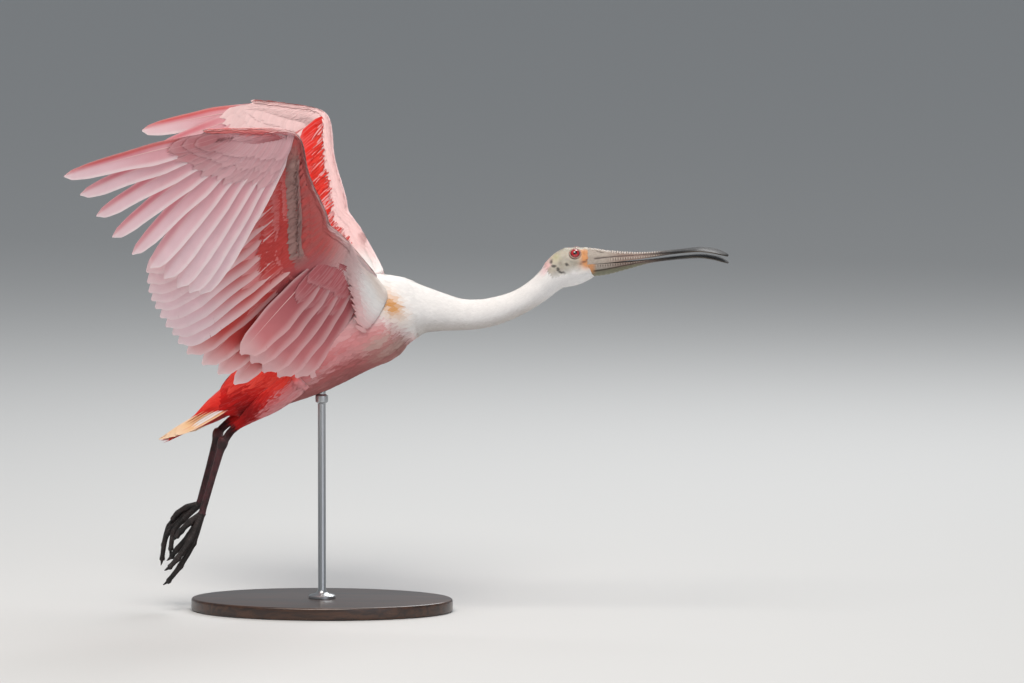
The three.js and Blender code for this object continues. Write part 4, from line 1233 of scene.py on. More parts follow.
armLayers = armRows()
edgeRows(armLayers)
plumes = redPlumes()
coverts = covertLayer()
shoulderFeathers = shoulderLayer()
for hand in ("Right", "Left"):
    coat = {
        "underarmFeathers": (armLayers["under"], "silk", bodyFinish, "pink_plumage"),
        "upperarmFeathers": (armLayers["upper"], "silk", bodyFinish, "pink_plumage"),
        "shoulderFeathers": (shoulderFeathers, "silk", bodyFinish, "white_plumage"),
        "redPlumes": (plumes, "hair", hairFinish, "pink_plumage"),
        "wingCoverts": (coverts, "covert", covertFinish, "pink_plumage"),
    }
    for name, (layer, family, material, slot) in coat.items():
        addLayer(name + hand, layer if hand == "Right" else mirroredLayer(layer), family, material, slot)


# Legs: the same bones as the model's. Each toe has the lengths and headings of its bones, and its splay.
legs = {
    "right": {
        "thigh": [(-24, -27, 300), (-60, -26, 270), (-88, -22, 248), (-109.4, -19, 231),
                  (-122.6, -18, 213.7)],
        "heel": (-123.4, -18, 212.6), "ankle": (-150.2, -17, 122.3),
        "toes": {
            "middle": ([38, 33, 24, 9], [17, 29, 38, 46], -1),
            "outer": ([37, 26, 15, 8], [24, 34, 42, 50], -11),
            "inner": ([32, 24, 13, 8], [31, 41, 38, 44], 9),
            "hind": ([17, 17, 9, 7], [56, 46, 38, 40], 1),
        },
    },
    "left": {
        "thigh": [(-24, 27, 300), (-62, 25, 272), (-97, 20, 250), (-122.5, 17, 233.2), (-132.6, 16, 221.6)],
        "heel": (-133.4, 16, 220.6), "ankle": (-157.1, 16, 131.1),
        "toes": {
            "middle": ([28, 27, 33, 9], [53, 43, 12, 4], 1),
            "outer": ([28, 22, 26, 8], [59, 47, 18, 8], 11),
            "inner": ([27, 20, 22, 8], [47, 37, 10, 2], -9),
            "hind": ([16, 14, 10, 7], [76, 58, 40, 34], -2),
        },
    },
}
thighRadii = [23, 19, 10.5, 5.4, 6.6]
tailRoot = np.array([-106.0, 0, 268])
tailSlope = math.radians(29.4)
tailBack = np.array([-math.cos(tailSlope), 0, -math.sin(tailSlope)])
tailUp = np.array([-math.sin(tailSlope), 0, math.cos(tailSlope)])
tailFlesh = np.array([(-8, 24, 25, 22), (14, 22, 22, 17), (36, 17, 16, 11), (60, 10, 8, 6)])


def thighAt(leg, q, angle, inset=0.0):
    points = np.array(leg["thigh"], float)
    here, line = curveAt(points, q), unit(curveAt(points, q + 0.01) - curveAt(points, q - 0.01))
    across = unit(side - line * (line @ side)[..., None])
    up = np.cross(line, across)
    radius = np.maximum(curveAt(thighRadii, q) - inset, 1.5)
    return here + across * (radius * np.cos(angle))[..., None] + up * (radius * np.sin(angle))[..., None]


def tailAt(q, angle, inset=0.0):
    distance, wide, above, below = np.moveaxis(curveAt(tailFlesh, q), -1, 0)
    centre = tailRoot + tailBack * distance[..., None] + tailUp * ((above - below) / 2)[..., None]
    high = (above + below) / 2 - inset
    return (centre + side * ((wide - inset) * np.cos(angle))[..., None]
            + tailUp * (high * np.sin(angle))[..., None])


def thighTint(point, q):
    streak = 0.5 + 0.5 * np.sin(point[:, 2] * 0.9 + point[:, 1] * 0.7)
    tint = wash(plain("pink", len(q)), "blush", 0.35 * streak)
    tint = reddened(tint, point, streak)
    return wash(tint, "legDark", rise(q, 0.57, 0.68))


def thighLayer(leg):
    draw = np.random.default_rng(61)
    layer = newLayer()
    rows = 34

    def at(*given):
        return thighAt(leg, *given)

    for i in range(rows):
        q = 0.06 + 0.7 * i / (rows - 1)
        wide = 8 - 5.4 * q
        count = int(2 * math.pi * curveAt(thighRadii, q) / (wide * 0.6))
        angle = (np.arange(count) + 0.5 * (i % 2)) / count * 2 * math.pi
        qs = q + draw.normal(0, 0.006, count)
        inset = 2.6 - 1.8 * q
        point, _, along = frameOn(at, qs, angle, inset)
        sizes = sized(count, wide, 24 - 15 * q, draw)
        layDown(layer, at, qs, angle, inset, along, sizes, thighTint(point, qs), 0.03, draw)
    return layer


for hand, leg in legs.items():
    addLayer(f"thighFeathers{hand.title()}", thighLayer(leg), "contour", bodyFinish, "pink_plumage")


# Tail: twelve feathers in a closed fan, with hair-like scarlet coverts above and below.
tailFan = {
    "pairs": 6, "length": 113, "width": 26, "spread": 11, "top": 10, "bottom": -3, "rise": -3.4, "fall": 0.4,
    "roll": 40, "taper": 0.3,
}


def laidTail(plan):
    laid = []
    for hand in (1, -1):
        for i in range(plan["pairs"]):
            q = i / (plan["pairs"] - 1)
            turn = hand * math.radians(plan["spread"]) * (i + 0.5) / plan["pairs"]
            lift = math.radians(plan["rise"] + (plan["fall"] - plan["rise"]) * q)
            sunk = (i + (hand > 0) * 0.5) / (plan["pairs"] - 0.5)
            level = plan["top"] + (plan["bottom"] - plan["top"]) * sunk
            line = tailBack * math.cos(turn) + side * math.sin(turn)
            line = line * math.cos(lift) + tailUp * math.sin(lift)
            roll = math.radians(plan["roll"]) * (i + 0.5) / plan["pairs"]  # the fan is tented: its edges hang
            across = tailUp * hand * math.sin(roll) - side * math.cos(roll)
            across = unit(across - line * across.dot(line))
            laid.append({
                "root": tailRoot + side * hand * (2 + 9 * i / plan["pairs"]) + tailUp * level, "line": line,
                "across": across, "under": np.cross(across, line), "q": q if hand < 0 else 0.5 * q,
                "length": plan["length"] * (1 - plan["taper"] * (i / plan["pairs"]) ** 2),
                "width": plan["width"],
            })
    return laid


buildLongFeathers("tailFeathers", [(laidTail(tailFan), "broad", 15, tailTint)], flightFinish,
                  "scarlet_plumage", redQuillMaterial)


tailCoat = {"rows": 44, "across": 64, "inset": 2.0, "width": 3.4, "lift": 0.03, "splay": 0.05, "most": 0.12}


def tailLayer():
    draw = np.random.default_rng(71)
    layer = newLayer()
    rows, count, wide = (tailCoat[key] for key in ("rows", "across", "width"))
    for i in range(rows):
        q = i / (rows - 1)
        angle = (np.arange(count) + 0.5 * (i % 2)) / count * 2 * math.pi + draw.normal(0, 0.02, count)
        qs = np.clip(q + draw.normal(0, 0.008, count), 0, 1)
        under = rise(-np.sin(angle), -0.1, 0.8)
        lower = tailCoat["inset"] - 5 * under * rise(q, 0.3, 0.8)  # the plumes below hang clear of the fan
        _, out, along = frameOn(tailAt, qs, angle, lower)
        # Painted light and shade: brighter red where the plumes face up, deep scarlet on their undersides near
        # the body.
        tint = wash(plain("red", count), "brightRed", 0.7 * rise(out[:, 2], 0.2, 0.9))
        tint = wash(tint, "deepScarlet", 0.65 * under * (1 - rise(q, 0.3, 1.0)))
        long = 44 - 14 * q + 20 * under * rise(q, 0.4, 0.9)
        sizes = np.stack([np.full(count, wide), long, np.full(count, wide)], -1)
        sizes = sizes * draw.uniform(0.8, 1.15, (count, 3))
        layDown(layer, tailAt, qs, angle, lower, along, sizes, tint, tailCoat["lift"], draw,
                splay=tailCoat["splay"], most=tailCoat["most"])
    return layer


addLayer("tailCoverts", tailLayer(), "hair", hairFinish, "scarlet_plumage")
print("short feathers built")


# Skin: one closed surface under the whole coat, bare on the head.
def skinFinish():
    # Thin leathery hide: faint scattering below, a soft shine, fine pebbling and a few dark pores.
    spec = {"roughness": 0.52, "pebbleMm": 1.6, "blotchMm": 9, "bump": 0.5}
    material, tree, shader = newFinish("bare leathery skin", spec["roughness"], Subsurface_Weight=0.08,
                                       Subsurface_Scale=0.002)
    place = objectPlace(tree)
    pebble = addNode(tree, "ShaderNodeTexVoronoi", {"Vector": place, "Scale": 1000 / spec["pebbleMm"]})
    level = span(tree, noise(tree, place, 1000 / spec["blotchMm"], 5.0), 0.3, 0.7, 0.8, 1.08)
    tree.links.new(shaded(tree, paintedTint(tree), level), shader.inputs["Base Color"])
    tree.links.new(bumped(tree, pebble.outputs["Distance"], spec["bump"], 0.0003), shader.inputs["Normal"])
    return material


eyeSpec = {
    "place": (320, -10.2, 452), "radius": 8.5, "tilt": 26, "iris": 5.3, "pupil": 2.3, "cornea": 0.9,
    "lidRadius": 6.2, "lidThickness": 1.1, "lidLevel": 5.6, "lidLong": 1.06, "lidHigh": 0.95,
    "irisTone": tone("C2141F"), "rimTone": tone("4A070E"), "ballTone": tone("2A1B1A"),
    "pupilTone": palette["earDark"] * 0.05,
}


def eyeAxis(hand):  # hand is -1 on the right, 1 on the left
    tilt = math.radians(eyeSpec["tilt"])
    return np.array([0.12, hand * math.cos(tilt), math.sin(tilt)]) / np.linalg.norm([0.12, 1])


def headRelief(point):  # how far the bare skin stands out, or sinks in
    x, y, z = point[..., 0], np.abs(point[..., 1]), point[..., 2]
    cx, _, cz = eyeSpec["place"]
    ring = np.hypot(x - cx, (z - cz - 2) * 1.1)
    sides = rise(y, 5, 11)
    relief = 1.0 * spot(ring - 9.5, 2.2) * sides
    relief = relief + 1.2 * spot(ring - 15, 3.0) * rise(z, 452, 462)
    for k, offset in enumerate((0, 5, 10.5)):
        fold = np.abs((z - 440 + offset) - 0.52 * (x - 326 + offset * 0.4)) / 1.2
        crease = (0.9 - 0.2 * k) * spot(fold, 1.0) * sides
        relief = relief - crease * rise(x, 316, 322) * (1 - rise(x, 342, 346))
    relief = relief - 1.1 * blot(x, z, 302, 440, 4, 2.6) * sides
    return relief * rise(x, 284, 294)


def buildSkin():
    stations = np.concatenate([
        np.linspace(0, 8, 44), np.linspace(8, 14.4, 52)[1:], np.linspace(14.4, 20, 60)[1:],
    ])
    angles = roundTurn(72)
    s, a = gridOf(stations, angles)
    inset = np.interp(s, [0, 2, 8, 13, 15, 15.6, 20], [6, 7, 5.2, 3.6, 2.2, 0.7, 0.5])
    grid = bodyAt(s, a, inset)
    flat = grid.reshape(-1, 3)
    grid = grid + bodyOut(s, a, inset) * headRelief(grid)[..., None]
    points, faces = tube(grid)
    tint = bodyTint(flat, s.ravel(), a.ravel())
    tint = mixed(tint, headTint(flat), rise(s.ravel(), 15.0, 15.7))
    tint = np.concatenate([tint, tint[:1], tint[-1:]])
    material = skinFinish()
    piece = addPiece("skin", points, faces, material)
    colourPoints(piece, tint)
    limbs = []  # arms, thighs and tail, with their tints
    w, turn = gridOf(np.linspace(0, armLast, 60), roundTurn(28))
    armPoints, armFaces = tube(fleshAt(w, turn, 5.0))
    above = (np.append(np.sin(turn).ravel(), [0, 0]) < 0) * 1.0
    armTint = wash(plain("mauve", len(armPoints)), "palePink", above)
    for mirror in (False, True):
        given = mirroredSide(armPoints, armFaces) if mirror else (armPoints, armFaces)
        limbs.append((*given, armTint))
    for leg in legs.values():
        q, turn = gridOf(np.linspace(0, 1, 24), roundTurn(24))
        thighPoints, thighFaces = tube(thighAt(leg, q, turn, 3.4 - 2.6 * q))
        limbs.append((thighPoints, thighFaces, thighTint(thighPoints, np.append(q.ravel(), [0, 1]))))
    q, turn = gridOf(np.linspace(0, 1, 20), roundTurn(32))
    tailPoints, tailFaces = tube(tailAt(q, turn, 5.0))
    limbs.append((tailPoints, tailFaces, plain("scarlet", len(tailPoints))))
    tools = []
    for k, (limbPoints, limbFaces, limbTint) in enumerate(limbs):
        tool = addPiece(f"limb{k}", limbPoints, limbFaces, material)
        colourPoints(tool, limbTint)
        join = piece.modifiers.new(f"limb{k}", "BOOLEAN")
        join.operation = "UNION"
        join.solver = "MANIFOLD"
        join.object = tool
        tools.append(tool)
    settled(piece)
    for tool in tools:
        bpy.data.objects.remove(tool)
    piece.data.shade_smooth()
    return piece, material


skinPiece, skinMaterial = buildSkin()
finishPiece(skinPiece, "bare_skin", "torso", "neck", "head", "tail", *(
    f"{part}_{hand}" for hand in ("right", "left")
    for part in ("wing_upperarm", "wing_forearm", "wing_hand", "leg_upper")))
print("skin built", len(skinPiece.data.polygons))


# Eyes: a wet ball with a red iris, and a bare lid round it.
def eyeFinish():
    # Wet cornea over the iris: one sharp highlight over a deep colour.
    material, tree, shader = newFinish("wet eye", 0.08, Coat_Weight=1.0, Coat_Roughness=0.02)
    tree.links.new(paintedTint(tree), shader.inputs["Base Color"])
    return material


eyeMaterial = eyeFinish()


def ringRound(axis):
    first = unit(np.cross(axis, (0, 0, 1)))
    return first, np.cross(axis, first)


for hand, name in ((-1, "right"), (1, "left")):
    axis = eyeAxis(hand)
    first, second = ringRound(axis)
    centre = np.array(eyeSpec["place"]) * (1, -hand, 1)
    polar = np.concatenate([np.linspace(0.02, 0.9, 34), np.linspace(0.95, math.pi - 0.05, 20)])
    around = roundTurn(40)
    p, t = gridOf(polar, around)
    direction = (axis * np.cos(p)[..., None] + first * (np.sin(p) * np.cos(t))[..., None]
                 + second * (np.sin(p) * np.sin(t))[..., None])
    bulge = eyeSpec["cornea"] * (1 - rise(p, 0.1, 0.75))
    points, faces = tube(centre + direction * (eyeSpec["radius"] + bulge)[..., None])
    reach = eyeSpec["radius"] * np.sin(np.minimum(p, 1.5)).ravel()
    flecks = 0.5 + 0.5 * np.sin(t.ravel() * 31 + 5 * np.sin(t.ravel() * 7))
    tint = mixed(eyeSpec["irisTone"] * np.ones((reach.size, 3)), eyeSpec["rimTone"], 0.35 * flecks)
    tint = mixed(tint, eyeSpec["rimTone"], rise(reach, eyeSpec["iris"] - 0.9, eyeSpec["iris"]))
    pupil = 1 - rise(reach, eyeSpec["pupil"] - 0.2, eyeSpec["pupil"] + 0.2)
    tint = mixed(tint, eyeSpec["pupilTone"], pupil)
    tint = mixed(tint, eyeSpec["ballTone"], rise(reach, eyeSpec["iris"], eyeSpec["iris"] + 0.4))
    ball = addPiece(f"eyeBall{name.title()}", points, faces, eyeMaterial)
    colourPoints(ball, np.concatenate([tint, tint[:1], tint[-1:]]))
    finishPiece(ball, "eye", f"eye_{name}")
    # Lid: a soft ring with a deeper fold above.
    u, v = gridOf(roundTurn(72), roundTurn(18))
    upward = np.sin(u) * np.sign(second[2])
    thick = eyeSpec["lidThickness"] * (1 + 0.25 * rise(upward, 0, 1) + 0.08 * np.sin(u * 19))
    radius = eyeSpec["lidRadius"] + thick * np.cos(v)
    level = eyeSpec["lidLevel"] + thick * 0.75 * np.sin(v)
    lid = (centre + axis * level[..., None] + first * (radius * np.cos(u) * eyeSpec["lidLong"])[..., None]
           + second * (radius * np.sin(u) * eyeSpec["lidHigh"])[..., None])
    rows, columns = lid.shape[:2]
    lidFaces = gridFaces(rows, columns, closed=True).tolist()
    lidFaces += [[(rows - 1) * columns + j, (rows - 1) * columns + (j + 1) % columns, (j + 1) % columns, j]
                 for j in range(columns)]
    lidPoints = lid.reshape(-1, 3)
    if volumeOf(lidPoints, lidFaces) < 0:
        lidFaces = [face[::-1] for face in lidFaces]
    ring = addPiece(f"eyeLid{name.title()}", lidPoints, lidFaces, skinMaterial)
    inner = rise(-np.cos(v).ravel(), 0.2, 0.9)
    colourPoints(ring, wash(plain("lidPink", inner.size), "earDark", 0.85 * inner))
    finishPiece(ring, "bare_skin")


# Bill: x, height of the mouth line, half width, height above it, depth below it.
billPlan = np.array([
    (334, 440.5, 15.4, 20.1, 15.5), (346, 441.4, 15.2, 18.2, 16), (362, 443, 14, 14, 14.6),
    (386, 445.6, 11.6, 9.5, 9.6), (412, 449.2, 10.2, 6, 4.6), (438, 453.5, 12, 4.4, 3.8),
    (460, 456.5, 18, 4.2, 3.6), (478, 458, 23.6, 4.2, 3.4), (494, 456.5, 25, 3.8, 3.2),
    (505, 453.6, 21, 3.2, 2.8), (512, 451, 11, 2.2, 2),
])
billSpec = {
    "opening": 2.4, "hinge": (346, 446), "start": 336, "end": 511.6, "tip": 512, "stations": 260,
    "across": 61, "gap": 0.15, "beadMm": 3.1, "rim": 0.5, "keel": 0.5, "nostril": (352, 8.0, 11, 1.8, 1.4),
}
billTones = tones({
    "base": "A89D93", "pinkGrey": "7F665D", "green": "75775F", "far": "3A302B", "spoon": "100D0C",
    "edge": "62564A", "dark": "2C1416", "bead": "D2C6B9",
})


# A stripe along the bill, at a share of its height that changes with x.
def stripe(shares, x, stops, values, width):
    return spot(shares - np.interp(x, stops, values), width)


def billMarks(xs, heights, upper):  # grooves and rows of beads, by x and share of height, each from 0 to 1
    ahead = rise(xs, 342, 347) * (1 - rise(xs, 424, 436))
    beads = 0.5 + 0.5 * np.sin(xs / billSpec["beadMm"] * 2 * math.pi)
    if upper:
        groove = stripe(heights, xs, [342, 376, 412, 440], [0.36, 0.62, 0.8, 0.9], 0.055) * ahead
        gums = stripe(heights, xs, [346, 425], [0.3, 0.3], 0.12) * rise(xs, 358, 370)
        gums = gums * (1 - rise(xs, 420, 432))
        ridge = rise(heights, 0.8, 0.95) * rise(xs, 356, 368) * (1 - rise(xs, 418, 430))
        return groove, gums * beads + ridge * beads, (gums + ridge) * (1 - beads)
    groove = stripe(heights, xs, [346, 376, 405], [0.56, 0.44, 0.3], 0.06) * ahead * (1 - rise(xs, 405, 420))
    gums = stripe(heights, xs, [346, 420], [0.14, 0.14], 0.1) * rise(xs, 344, 352) * (1 - rise(xs, 398, 415))
    return groove, 0.5 * gums * beads, gums * (1 - beads)


def billShape(half):
    x = np.linspace(billSpec["start"], billSpec["end"], billSpec["stations"])
    shares = np.linspace(0, 1, 2001)
    q = np.interp(x, curveAt(billPlan, shares)[:, 0], shares)
    _, mouth, wide, above, below = curveAt(billPlan, q).T
    high = above if half > 0 else below
    tip = np.sqrt(np.clip((billSpec["tip"] - x) / 14, 0, 1))
    wide = np.where(x > 498, np.minimum(wide, 25 * tip + 1), wide)
    u = np.sin(np.linspace(-math.pi / 2, math.pi / 2, billSpec["across"]))
    xs, us = gridOf(x, u)
    high, wide = (np.broadcast_to(values[:, None], xs.shape) for values in (high, wide))
    face = np.clip(1 - np.abs(us) ** 2.6, 0, 1) ** 0.62
    edge = 1 - np.abs(us)
    marks = billMarks(xs, face, half > 0)
    groove, beads, gaps = marks
    relief = 0.45 * beads - 0.3 * gaps - 0.75 * groove
    relief += 0.2 * np.sin(xs * 1.1 + 1.7 * np.sin(us * 5)) * rise(edge, 0.3, 0.5) * (1 - rise(xs, 385, 420))
    relief += billSpec["rim"] * spot(edge * wide, 1.6) * rise(xs, 450, 470)
    keel = billSpec["keel"] * spot(us * wide, 2.2) * rise(xs, 352, 370) * (1 - rise(xs, 440, 470))
    relief += keel * (half > 0)
    relief -= 0.5 * spot(us * wide, 7) * rise(xs, 462, 478) * (1 - rise(xs, 500, 508))
    if half > 0:
        atX, atY, long, broad, deep = billSpec["nostril"]
        slot = np.exp(-(((xs - atX) / (long * 0.5)) ** 4) - (((np.abs(us) * wide - atY) / (broad * 0.6)) ** 4))
        relief -= deep * slot
    top = np.maximum(high * face + relief * np.minimum(face * 4, 1), 0.05)
    hollow = -0.35 * np.clip(edge * 3, 0, 1) * rise(xs, 450, 470)
    outer = np.stack([xs, wide * us, mouth[:, None] + half * (billSpec["gap"] + top)], -1)
    inner = np.stack([xs, wide * us, mouth[:, None] + half * (billSpec["gap"] - hollow * 0.5)], -1)
    inner = inner[:, 1:-1][:, ::-1]
    points, faces = tube(np.concatenate([outer, inner], 1))
    tint = billTint(xs, us, face, relief, marks, half > 0)
    flat = np.concatenate([tint, tint[:, 1:-1][:, ::-1]], 1).reshape(-1, 3)
    return points, faces, np.concatenate([flat, flat[:1], flat[-1:]])


def billTint(xs, us, face, relief, marks, upper):
    groove, beads, gaps = marks
    tint = np.broadcast_to(billTones["base"], (*xs.shape, 3))
    tint = mixed(tint, billTones["pinkGrey"], rise(xs, 352, 385) * 0.8)
    if not upper:
        tint = mixed(tint, billTones["green"], 0.8 * rise(face, 0.3, 0.6) * (1 - rise(xs, 395, 425)))
        tint = mixed(tint, palette["faceOrange"], 0.8 * (1 - rise(xs, 342, 349)) * (1 - rise(face, 0.5, 0.9)))
    tint = mixed(tint, billTones["far"], rise(xs, 395, 430))
    tint = mixed(tint, billTones["bead"], 0.85 * beads)
    tint = mixed(tint, billTones["dark"], 0.7 * gaps)
    tint = mixed(tint, billTones["dark"], 0.95 * groove)
    tint = mixed(tint, billTones["spoon"], 0.96 * rise(xs + 3 * np.sin(us * 7), 424, 446))
    tint = mixed(tint, billTones["edge"], 0.5 * rise(0.06 - (1 - np.abs(us)), 0, 0.06) * rise(xs, 440, 470))
    # Painted shade: the bill darker where its relief sinks deepest, in the grooves and the nostril.
    return mixed(tint, billTones["dark"], 0.6 * rise(-relief, 0.6, 1.2))


def billFinish():
    # Horn and tight skin: satin, with fine pits and streaks that run along the bill.
    spec = {"roughness": 0.42, "pitMm": 1.3, "dotMm": 1.9, "blotches": 90.0, "bump": 0.5}
    material, tree, shader = newFinish("satin bill horn", spec["roughness"], Specular_IOR_Level=0.2)
    place = objectPlace(tree)
    grain = noise(tree, objectPlace(tree, (0.4, 1.0, 1.0)), 1000 / spec["pitMm"], 4.0)
    dots = addNode(tree, "ShaderNodeTexVoronoi", {"Vector": place, "Scale": 1000 / spec["dotMm"]})
    dark = span(tree, dots.outputs["Distance"], 0.08, 0.2, 0.45, 1.0)
    where = span(tree, noise(tree, place, spec["blotches"], 3.0), 0.48, 0.6)
    level = addNode(tree, "ShaderNodeMix", {0: where, 2: 1.0, 3: dark}, data_type="FLOAT").outputs[0]
    level = maths(tree, "MULTIPLY", level, span(tree, grain, 0.3, 0.7, 0.86, 1.06))
    tree.links.new(shaded(tree, paintedTint(tree), level), shader.inputs["Base Color"])
    tree.links.new(bumped(tree, grain, spec["bump"], 0.0003), shader.inputs["Normal"])
    return material


billMaterial = billFinish()
for half, name, node in ((1, "billUpper", "bill_upper"), (-1, "billLower", "bill_lower")):
    points, faces, tint = billShape(half)
    if half < 0:
        turn = math.radians(billSpec["opening"])
        hx, hz = billSpec["hinge"]
        x, z = points[:, 0] - hx, points[:, 2] - hz
        points = np.stack([hx + x * math.cos(turn) + z * math.sin(turn), points[:, 1],
                           hz - x * math.sin(turn) + z * math.cos(turn)], -1)
    bill = addPiece(name, points, faces, billMaterial)
    colourPoints(bill, tint)
    finishPiece(bill, "bill_horn", node)
print("head built")


# Legs and feet: scaled shanks, jointed toes with claws, and small webs.
legSpec = {
    "shankRadii": [2.5, 6.0, 7.2, 6.6, 4.9, 4.3, 4.4, 5.6, 5.2], "toeRadii": [4.8, 4.2, 3.7, 3.1],
    "shankStops": [-8, -5.5, -1, 4, 13, 45, 86, 96, 104], "toeEnd": 1.4, "nailRadii": [1.9, 1.9, 1.2, 0.3],
    "knuckleStops": (-5, -3, 0, 3, 5), "knuckleRadii": [2.5, 4.4, 5.2, 4.4, 2.5], "scuteMm": 3.4,
    "scute": 0.5, "sides": 20, "stepMm": 0.9,
}


def limbShape(stops, radii, sides, scute, pads=()):
    stops = np.asarray(stops, float)
    lengths = np.concatenate([[0], np.cumsum(np.linalg.norm(np.diff(stops, axis=0), axis=1))])
    steps = max(int(lengths[-1] / legSpec["stepMm"]), 8)
    at = np.linspace(0, lengths[-1], steps)
    q = np.interp(at, lengths, np.arange(len(stops))) / (len(stops) - 1)
    centre = curveAt(stops, q)
    line = unit(np.gradient(centre, axis=0))
    across = unit(side - line * (line @ side)[:, None])
    up = np.cross(line, across)
    angle = np.arange(sides) / sides * 2 * math.pi
    radius = np.interp(at, lengths, radii)[:, None] * np.ones(sides)
    for joint in pads:
        pad = 1.1 * spot(at - lengths[joint], 3.4)
        radius = radius + pad[:, None] * (0.7 + 0.3 * np.sin(angle))[None, :]
    wave = (at / legSpec["scuteMm"]) % 1
    radius = radius + (scute * (wave - 0.5))[:, None] * (0.6 + 0.4 * np.cos(angle * 2))[None, :]
    radius = np.maximum(radius, 0.25)
    ring = (centre[:, None] + across[:, None] * (radius * np.cos(angle))[..., None]
            + up[:, None] * (radius * np.sin(angle))[..., None])
    return tube(ring)


def legFinish(name, dark, light, seams):
    # Scaly hide with a low shine and a net of small plates: dark maroon on the leg, near black on the toes.
    spec = {"roughness": 0.48, "plateMm": 2.6, "blotches": 70.0, "bump": 0.7}
    material, tree, shader = newFinish(name, spec["roughness"])
    place = objectPlace(tree)
    plates = addNode(tree, "ShaderNodeTexVoronoi", {
        "Vector": place, "Scale": 1000 / spec["plateMm"],
    }, feature="DISTANCE_TO_EDGE").outputs["Distance"]
    blotch = span(tree, noise(tree, place, spec["blotches"], 3.0), 0.35, 0.65)
    base = mixColour(tree, blotch, colour(tone(dark)), colour(tone(light)))
    base = mixColour(tree, span(tree, plates, 0.0, 0.08, 0.7, 0.0), base, colour(tone(seams)))
    tree.links.new(base, shader.inputs["Base Color"])
    tree.links.new(bumped(tree, span(tree, plates, 0.0, 0.12), spec["bump"], 0.0004), shader.inputs["Normal"])
    return material


legMaterial = legFinish("scaly leg hide", "2B1416", "53252A", "140A0B")
footMaterial = legFinish("black toe hide", "15100F", "302422", "0B0808")
# Claw horn: dark, even and polished by wear.
clawMaterial = plainFinish("dark claw horn", 0.3, tone("17110F"))


def toePoints(start, bones, headings, splay):
    points = [np.array(start, float)]
    for bone, turn in zip(bones, headings):
        turn = math.radians(turn)
        step = unit([-math.sin(turn), math.sin(math.radians(splay)), -math.cos(turn)])
        points.append(points[-1] + step * bone)
    return np.array(points)


def webShape(a, b):  # a thin sheet between the first bones of two toes, with a hollow edge
    rows, columns = 14, 13
    s, t = gridOf(np.linspace(0, 1, rows), np.linspace(0, 1, columns))
    reach = s * (1 - 0.5 * np.sin(math.pi * t) * s)
    left = a[0] + (a[1] - a[0]) * reach[..., None]
    right = b[0] + (b[1] - b[0]) * reach[..., None]
    sheet = left + (right - left) * t[..., None]
    normal = unit(np.cross(a[1] - a[0], b[1] - b[0]))
    sag = (0.8 * np.sin(math.pi * t) * s)[..., None]
    sheet = sheet - normal * sag * np.sign(normal[2])
    thick = 0.35 + 0.3 * (1 - np.sin(math.pi * t))[..., None]
    points = np.concatenate([(sheet + normal * thick * hand).reshape(-1, 3) for hand in (1, -1)])
    top = gridFaces(rows, columns).tolist()
    half = rows * columns
    faces = top + [[half + corner for corner in face[::-1]] for face in top]
    border = (list(range(columns)) + [i * columns + columns - 1 for i in range(1, rows)]
              + [(rows - 1) * columns + j for j in range(columns - 2, -1, -1)]
              + [i * columns for i in range(rows - 2, 0, -1)])
    for k, one in enumerate(border):
        following = border[(k + 1) % len(border)]
        faces.append([following, one, half + one, half + following])
    if volumeOf(points, faces) < 0:
        faces = [face[::-1] for face in faces]
    return points, faces


for name, leg in legs.items():
    heel, ankle = np.array(leg["heel"], float), np.array(leg["ankle"], float)
    shankLine = unit(ankle - heel)
    shankLength = np.linalg.norm(ankle - heel)
    stops = [min(stop, shankLength - 1) for stop in legSpec["shankStops"]]
    kept = [k for k in range(len(stops)) if k == 0 or stops[k] - stops[k - 1] > 1]
    shankPoints = np.array([heel + shankLine * stops[k] for k in kept])
    shankRadii = [legSpec["shankRadii"][k] - 0.2 for k in kept]
    shankShape = limbShape(shankPoints, shankRadii, legSpec["sides"], legSpec["scute"])
    shank = addPiece(f"shank{name.title()}", *shankShape, legMaterial)
    finishPiece(shank, "leg_skin", f"leg_lower_{name}")
    toes = {key: toePoints(ankle, *plan) for key, plan in leg["toes"].items()}
    parts, claws = [], []
    for points in toes.values():
        skin = points.copy()
        skin[4] = skin[3] + (skin[4] - skin[3]) * 0.25
        radii = [value - 0.25 for value in legSpec["toeRadii"]] + [legSpec["toeEnd"]]
        parts.append(limbShape(skin, radii, 16, legSpec["scute"], pads=(1, 2, 3)))
        line = unit(points[4] - points[3])
        bend = unit(np.cross(line, side))
        nail = np.array([points[3] - line, points[3] + line * 3, points[3] + line * 6.2 - bend * 0.3,
                         points[4] + line * 0.2 - bend * 0.9])
        claws.append(limbShape(nail, legSpec["nailRadii"], 12, 0.0))
    parts.append(webShape(toes["middle"], toes["outer"]))
    parts.append(webShape(toes["middle"], toes["inner"]))
    knuckle = np.array([ankle + shankLine * k for k in legSpec["knuckleStops"]])
    parts.append(limbShape(knuckle, legSpec["knuckleRadii"], 18, 0.0))
    foot = addPiece(f"foot{name.title()}", *joined(parts), footMaterial)
    finishPiece(foot, "leg_skin", f"foot_{name}")
    nails = addPiece(f"claws{name.title()}", *joined(claws), clawMaterial)
    finishPiece(nails, "leg_skin")
print("legs built")


# Stand: an oval wooden base and a brushed steel rod.
standSpec = {"length": 330, "width": 230, "height": 16, "round": 3.0}
rodProfile = [
    (0.1, 16.3), (17, 16.3), (17, 19), (15.5, 20.4), (8, 22.3), (6, 24.5), (5, 27), (5, 262), (8, 264),
    (8.2, 268), (8, 272), (5, 274), (5, 301), (4.2, 302), (0.1, 302),
]


